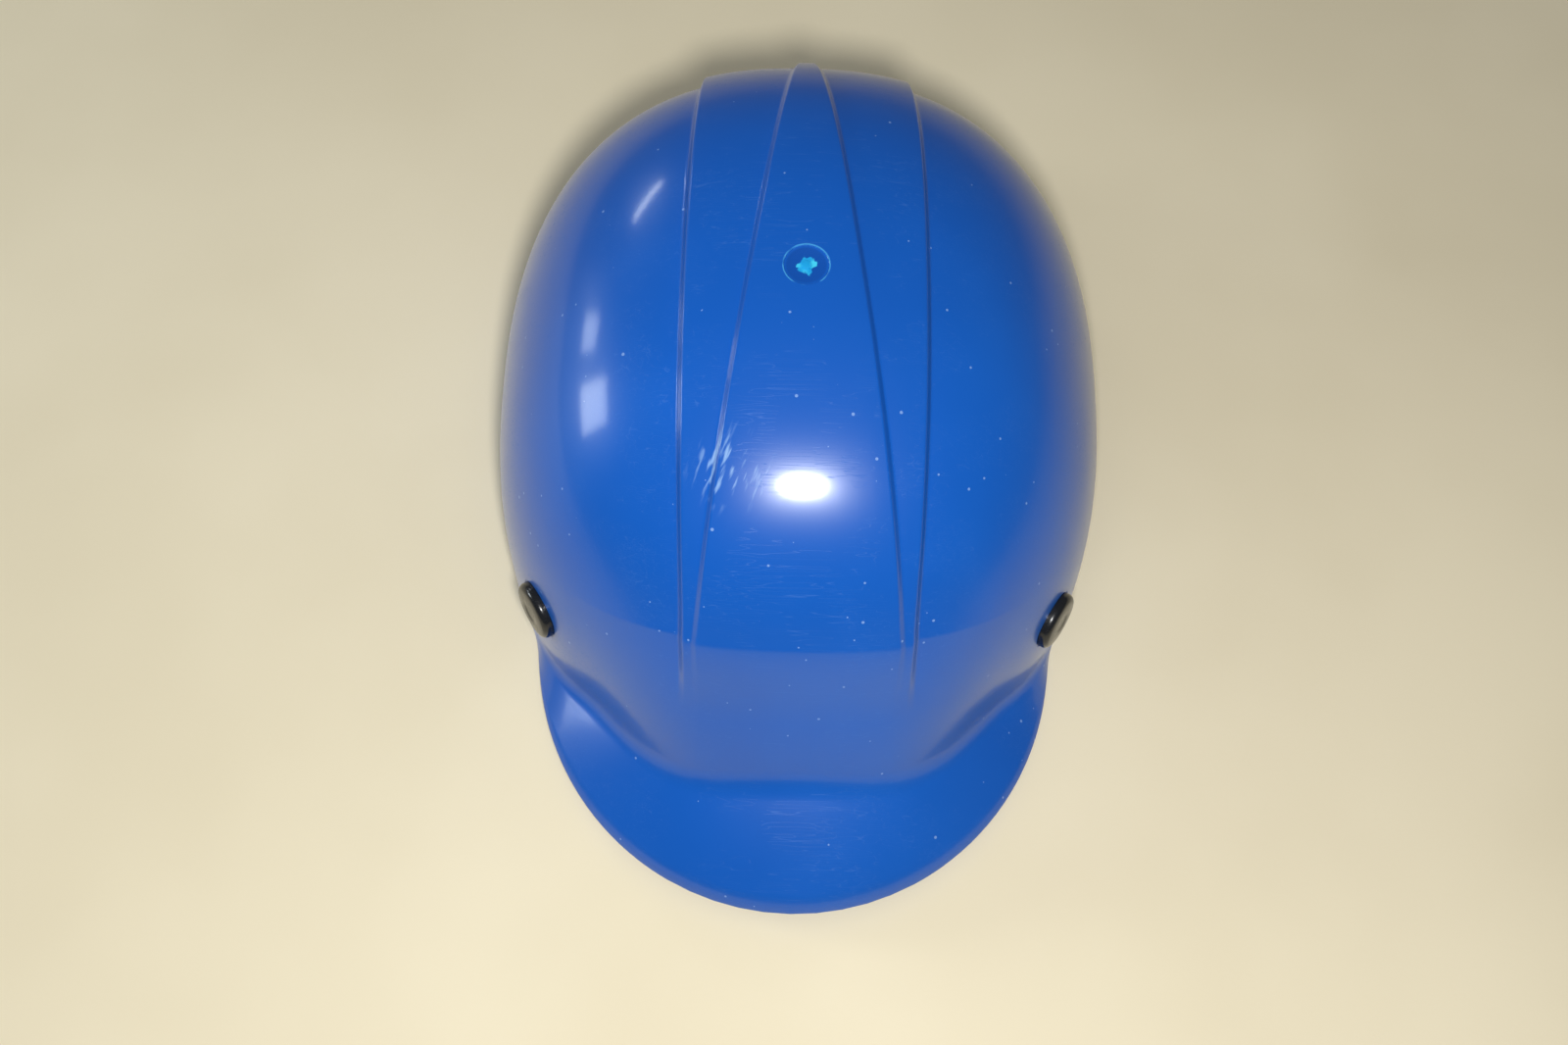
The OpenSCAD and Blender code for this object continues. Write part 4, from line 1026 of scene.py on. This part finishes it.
knob_y = arcs["rear"][1] - 4
for side, label in ((-1, "left"), (1, "right")):
    out = Vector((side, 0, 0))
    knob_place = Matrix.Translation(Vector((0, knob_y + dome_y, band_middle_z)) * 0.001) @ (
        Matrix((Vector((0, 0, 1)).cross(out), Vector((0, 0, 1)), out)).transposed().to_4x4())
    inner, head = band_half_out - 2.1 - 1.6, band_half_out + 0.35
    profile = [(0, inner), (2.25, inner), (2.5, inner + 0.25), (2.5, head), (5.5, head),
               (5.8, head + 0.2, 1), (6.0, head + 0.5, 1), (6.0, head + 1.6, 1),
               (5.75, head + 2.05, 1), (5.2, head + 2.35), (4.6, head + 2.4), (4.2, head + 2.1),
               (0, head + 2.0)]
    knob = black_turning("size_knob_" + label, profile, knob_place, 144,
                         lambda turn: -0.28 * (1 + np.cos(24 * turn)))
    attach(knob, "nape")
    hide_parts("knob_" + label)


# ---- Floor, light and camera -------------------------------------------------------------------
# A pale warm floor, a dim world, a small bright lamp close to the camera, and daylight panes on
# the left that the shell mirrors. The camera looks down on the cap from in front.

floor_mesh = bpy.data.meshes.new("floor")
floor_mesh.from_pydata([(-4, -4, 0), (4, -4, 0), (4, 4, 0), (-4, 4, 0)], [], [(0, 1, 2, 3)])
floor = bpy.data.objects.new("floor", floor_mesh)
bpy.context.scene.collection.objects.link(floor)
tree, place = new_material("pale_floor")
pale = blend_colour(tree, spread(tree, noise(tree, place, 6, 3), 0.3, 0.7),
                    (0.80, 0.705, 0.49), (0.86, 0.765, 0.545))
floor_mesh.materials.append(
    finish_of("pale_floor", pale, 0.8, noise(tree, place, 900, 2), 0.1, 0.0003))
# From below, the floor lets the view and the lamp beneath it through
see_through = maths(tree, "MAXIMUM", node(tree, "ShaderNodeNewGeometry").outputs["Backfacing"],
                    node(tree, "ShaderNodeLightPath").outputs["Is Shadow Ray"])
seen = node(tree, "ShaderNodeMixShader", {0: see_through})
tree.links.new(first(tree, "BSDF_PRINCIPLED").outputs[0], seen.inputs[1])
tree.links.new(node(tree, "ShaderNodeBsdfTransparent").outputs[0], seen.inputs[2])
tree.links.new(seen.outputs[0], first(tree, "OUTPUT_MATERIAL").inputs[0])

world = bpy.data.worlds.new("studio")
bpy.context.scene.world = world
world.use_nodes = True
sky = first(world.node_tree, "BACKGROUND")
sky.inputs["Color"].default_value = (0.92, 0.95, 1.0, 1)
sky.inputs["Strength"].default_value = 0.12


def lamp(name, location, aim, width, depth, power, colour=(1, 1, 1)):
    """A rectangular soft lamp at a place, turned to face its aim. Returns the lamp."""
    light = bpy.data.lights.new(name, "AREA")
    light.shape, light.size, light.size_y = "RECTANGLE", width, depth
    light.energy, light.color = power, colour
    holder = bpy.data.objects.new(name, light)
    holder.location = location
    holder.rotation_euler = (Vector(aim) - Vector(location)).to_track_quat("-Z", "Y").to_euler()
    bpy.context.scene.collection.objects.link(holder)
    return holder


daylight = (0.86, 0.94, 1.0)
flash = bpy.data.objects.new("near_camera", bpy.data.lights.new("near_camera", "POINT"))
flash.data.energy, flash.data.shadow_soft_size = 11.2, 0.033
flash.location = (0.008, -0.292, 0.565)
bpy.context.scene.collection.objects.link(flash)
lamp("overhead", (0, -0.15, 1.3), (0, 0, 0), 0.9, 0.9, 2.0).visible_glossy = False
lamp("from_below", (0, -0.15, -0.9), (0, 0, 0.05), 0.8, 0.8, 6)
lamp("left_tube", (-0.62, 0.74, 0.44), (-0.042, 0.04, 0.128), 0.20, 0.03, 0.45, daylight)
lamp("left_window", (-1.00, 0.13, 0.38), (0, 0, 0.10), 0.22, 0.26, 2.2, daylight)
lamp("left_pane", (-0.95, 0.42, 0.30), (0, 0, 0.10), 0.12, 0.14, 0.5, daylight)

tilt, swing, roll = math.radians(66.95), math.radians(-1.1), math.radians(2.2)
back = Vector((math.sin(swing) * math.cos(tilt), -math.cos(swing) * math.cos(tilt), math.sin(tilt)))
right = Vector((math.cos(swing), math.sin(swing), 0))
up = back.cross(right)
right, up = (math.cos(roll) * right + math.sin(roll) * up,
             math.cos(roll) * up - math.sin(roll) * right)
aim, distance = Vector((-4.6, -50.5 + dome_y, 60)), 568
eye = (aim + back * distance) * 0.001
camera = bpy.data.objects.new("camera", bpy.data.cameras.new("camera"))
camera.data.lens, camera.data.sensor_width = 40.5, 36
camera.data.clip_start = 0.01
camera.matrix_world = Matrix.Translation(eye) @ Matrix((right, up, back)).transposed().to_4x4()
bpy.context.scene.collection.objects.link(camera)
bpy.context.scene.camera = camera
bpy.context.scene.view_settings.view_transform = "Standard"
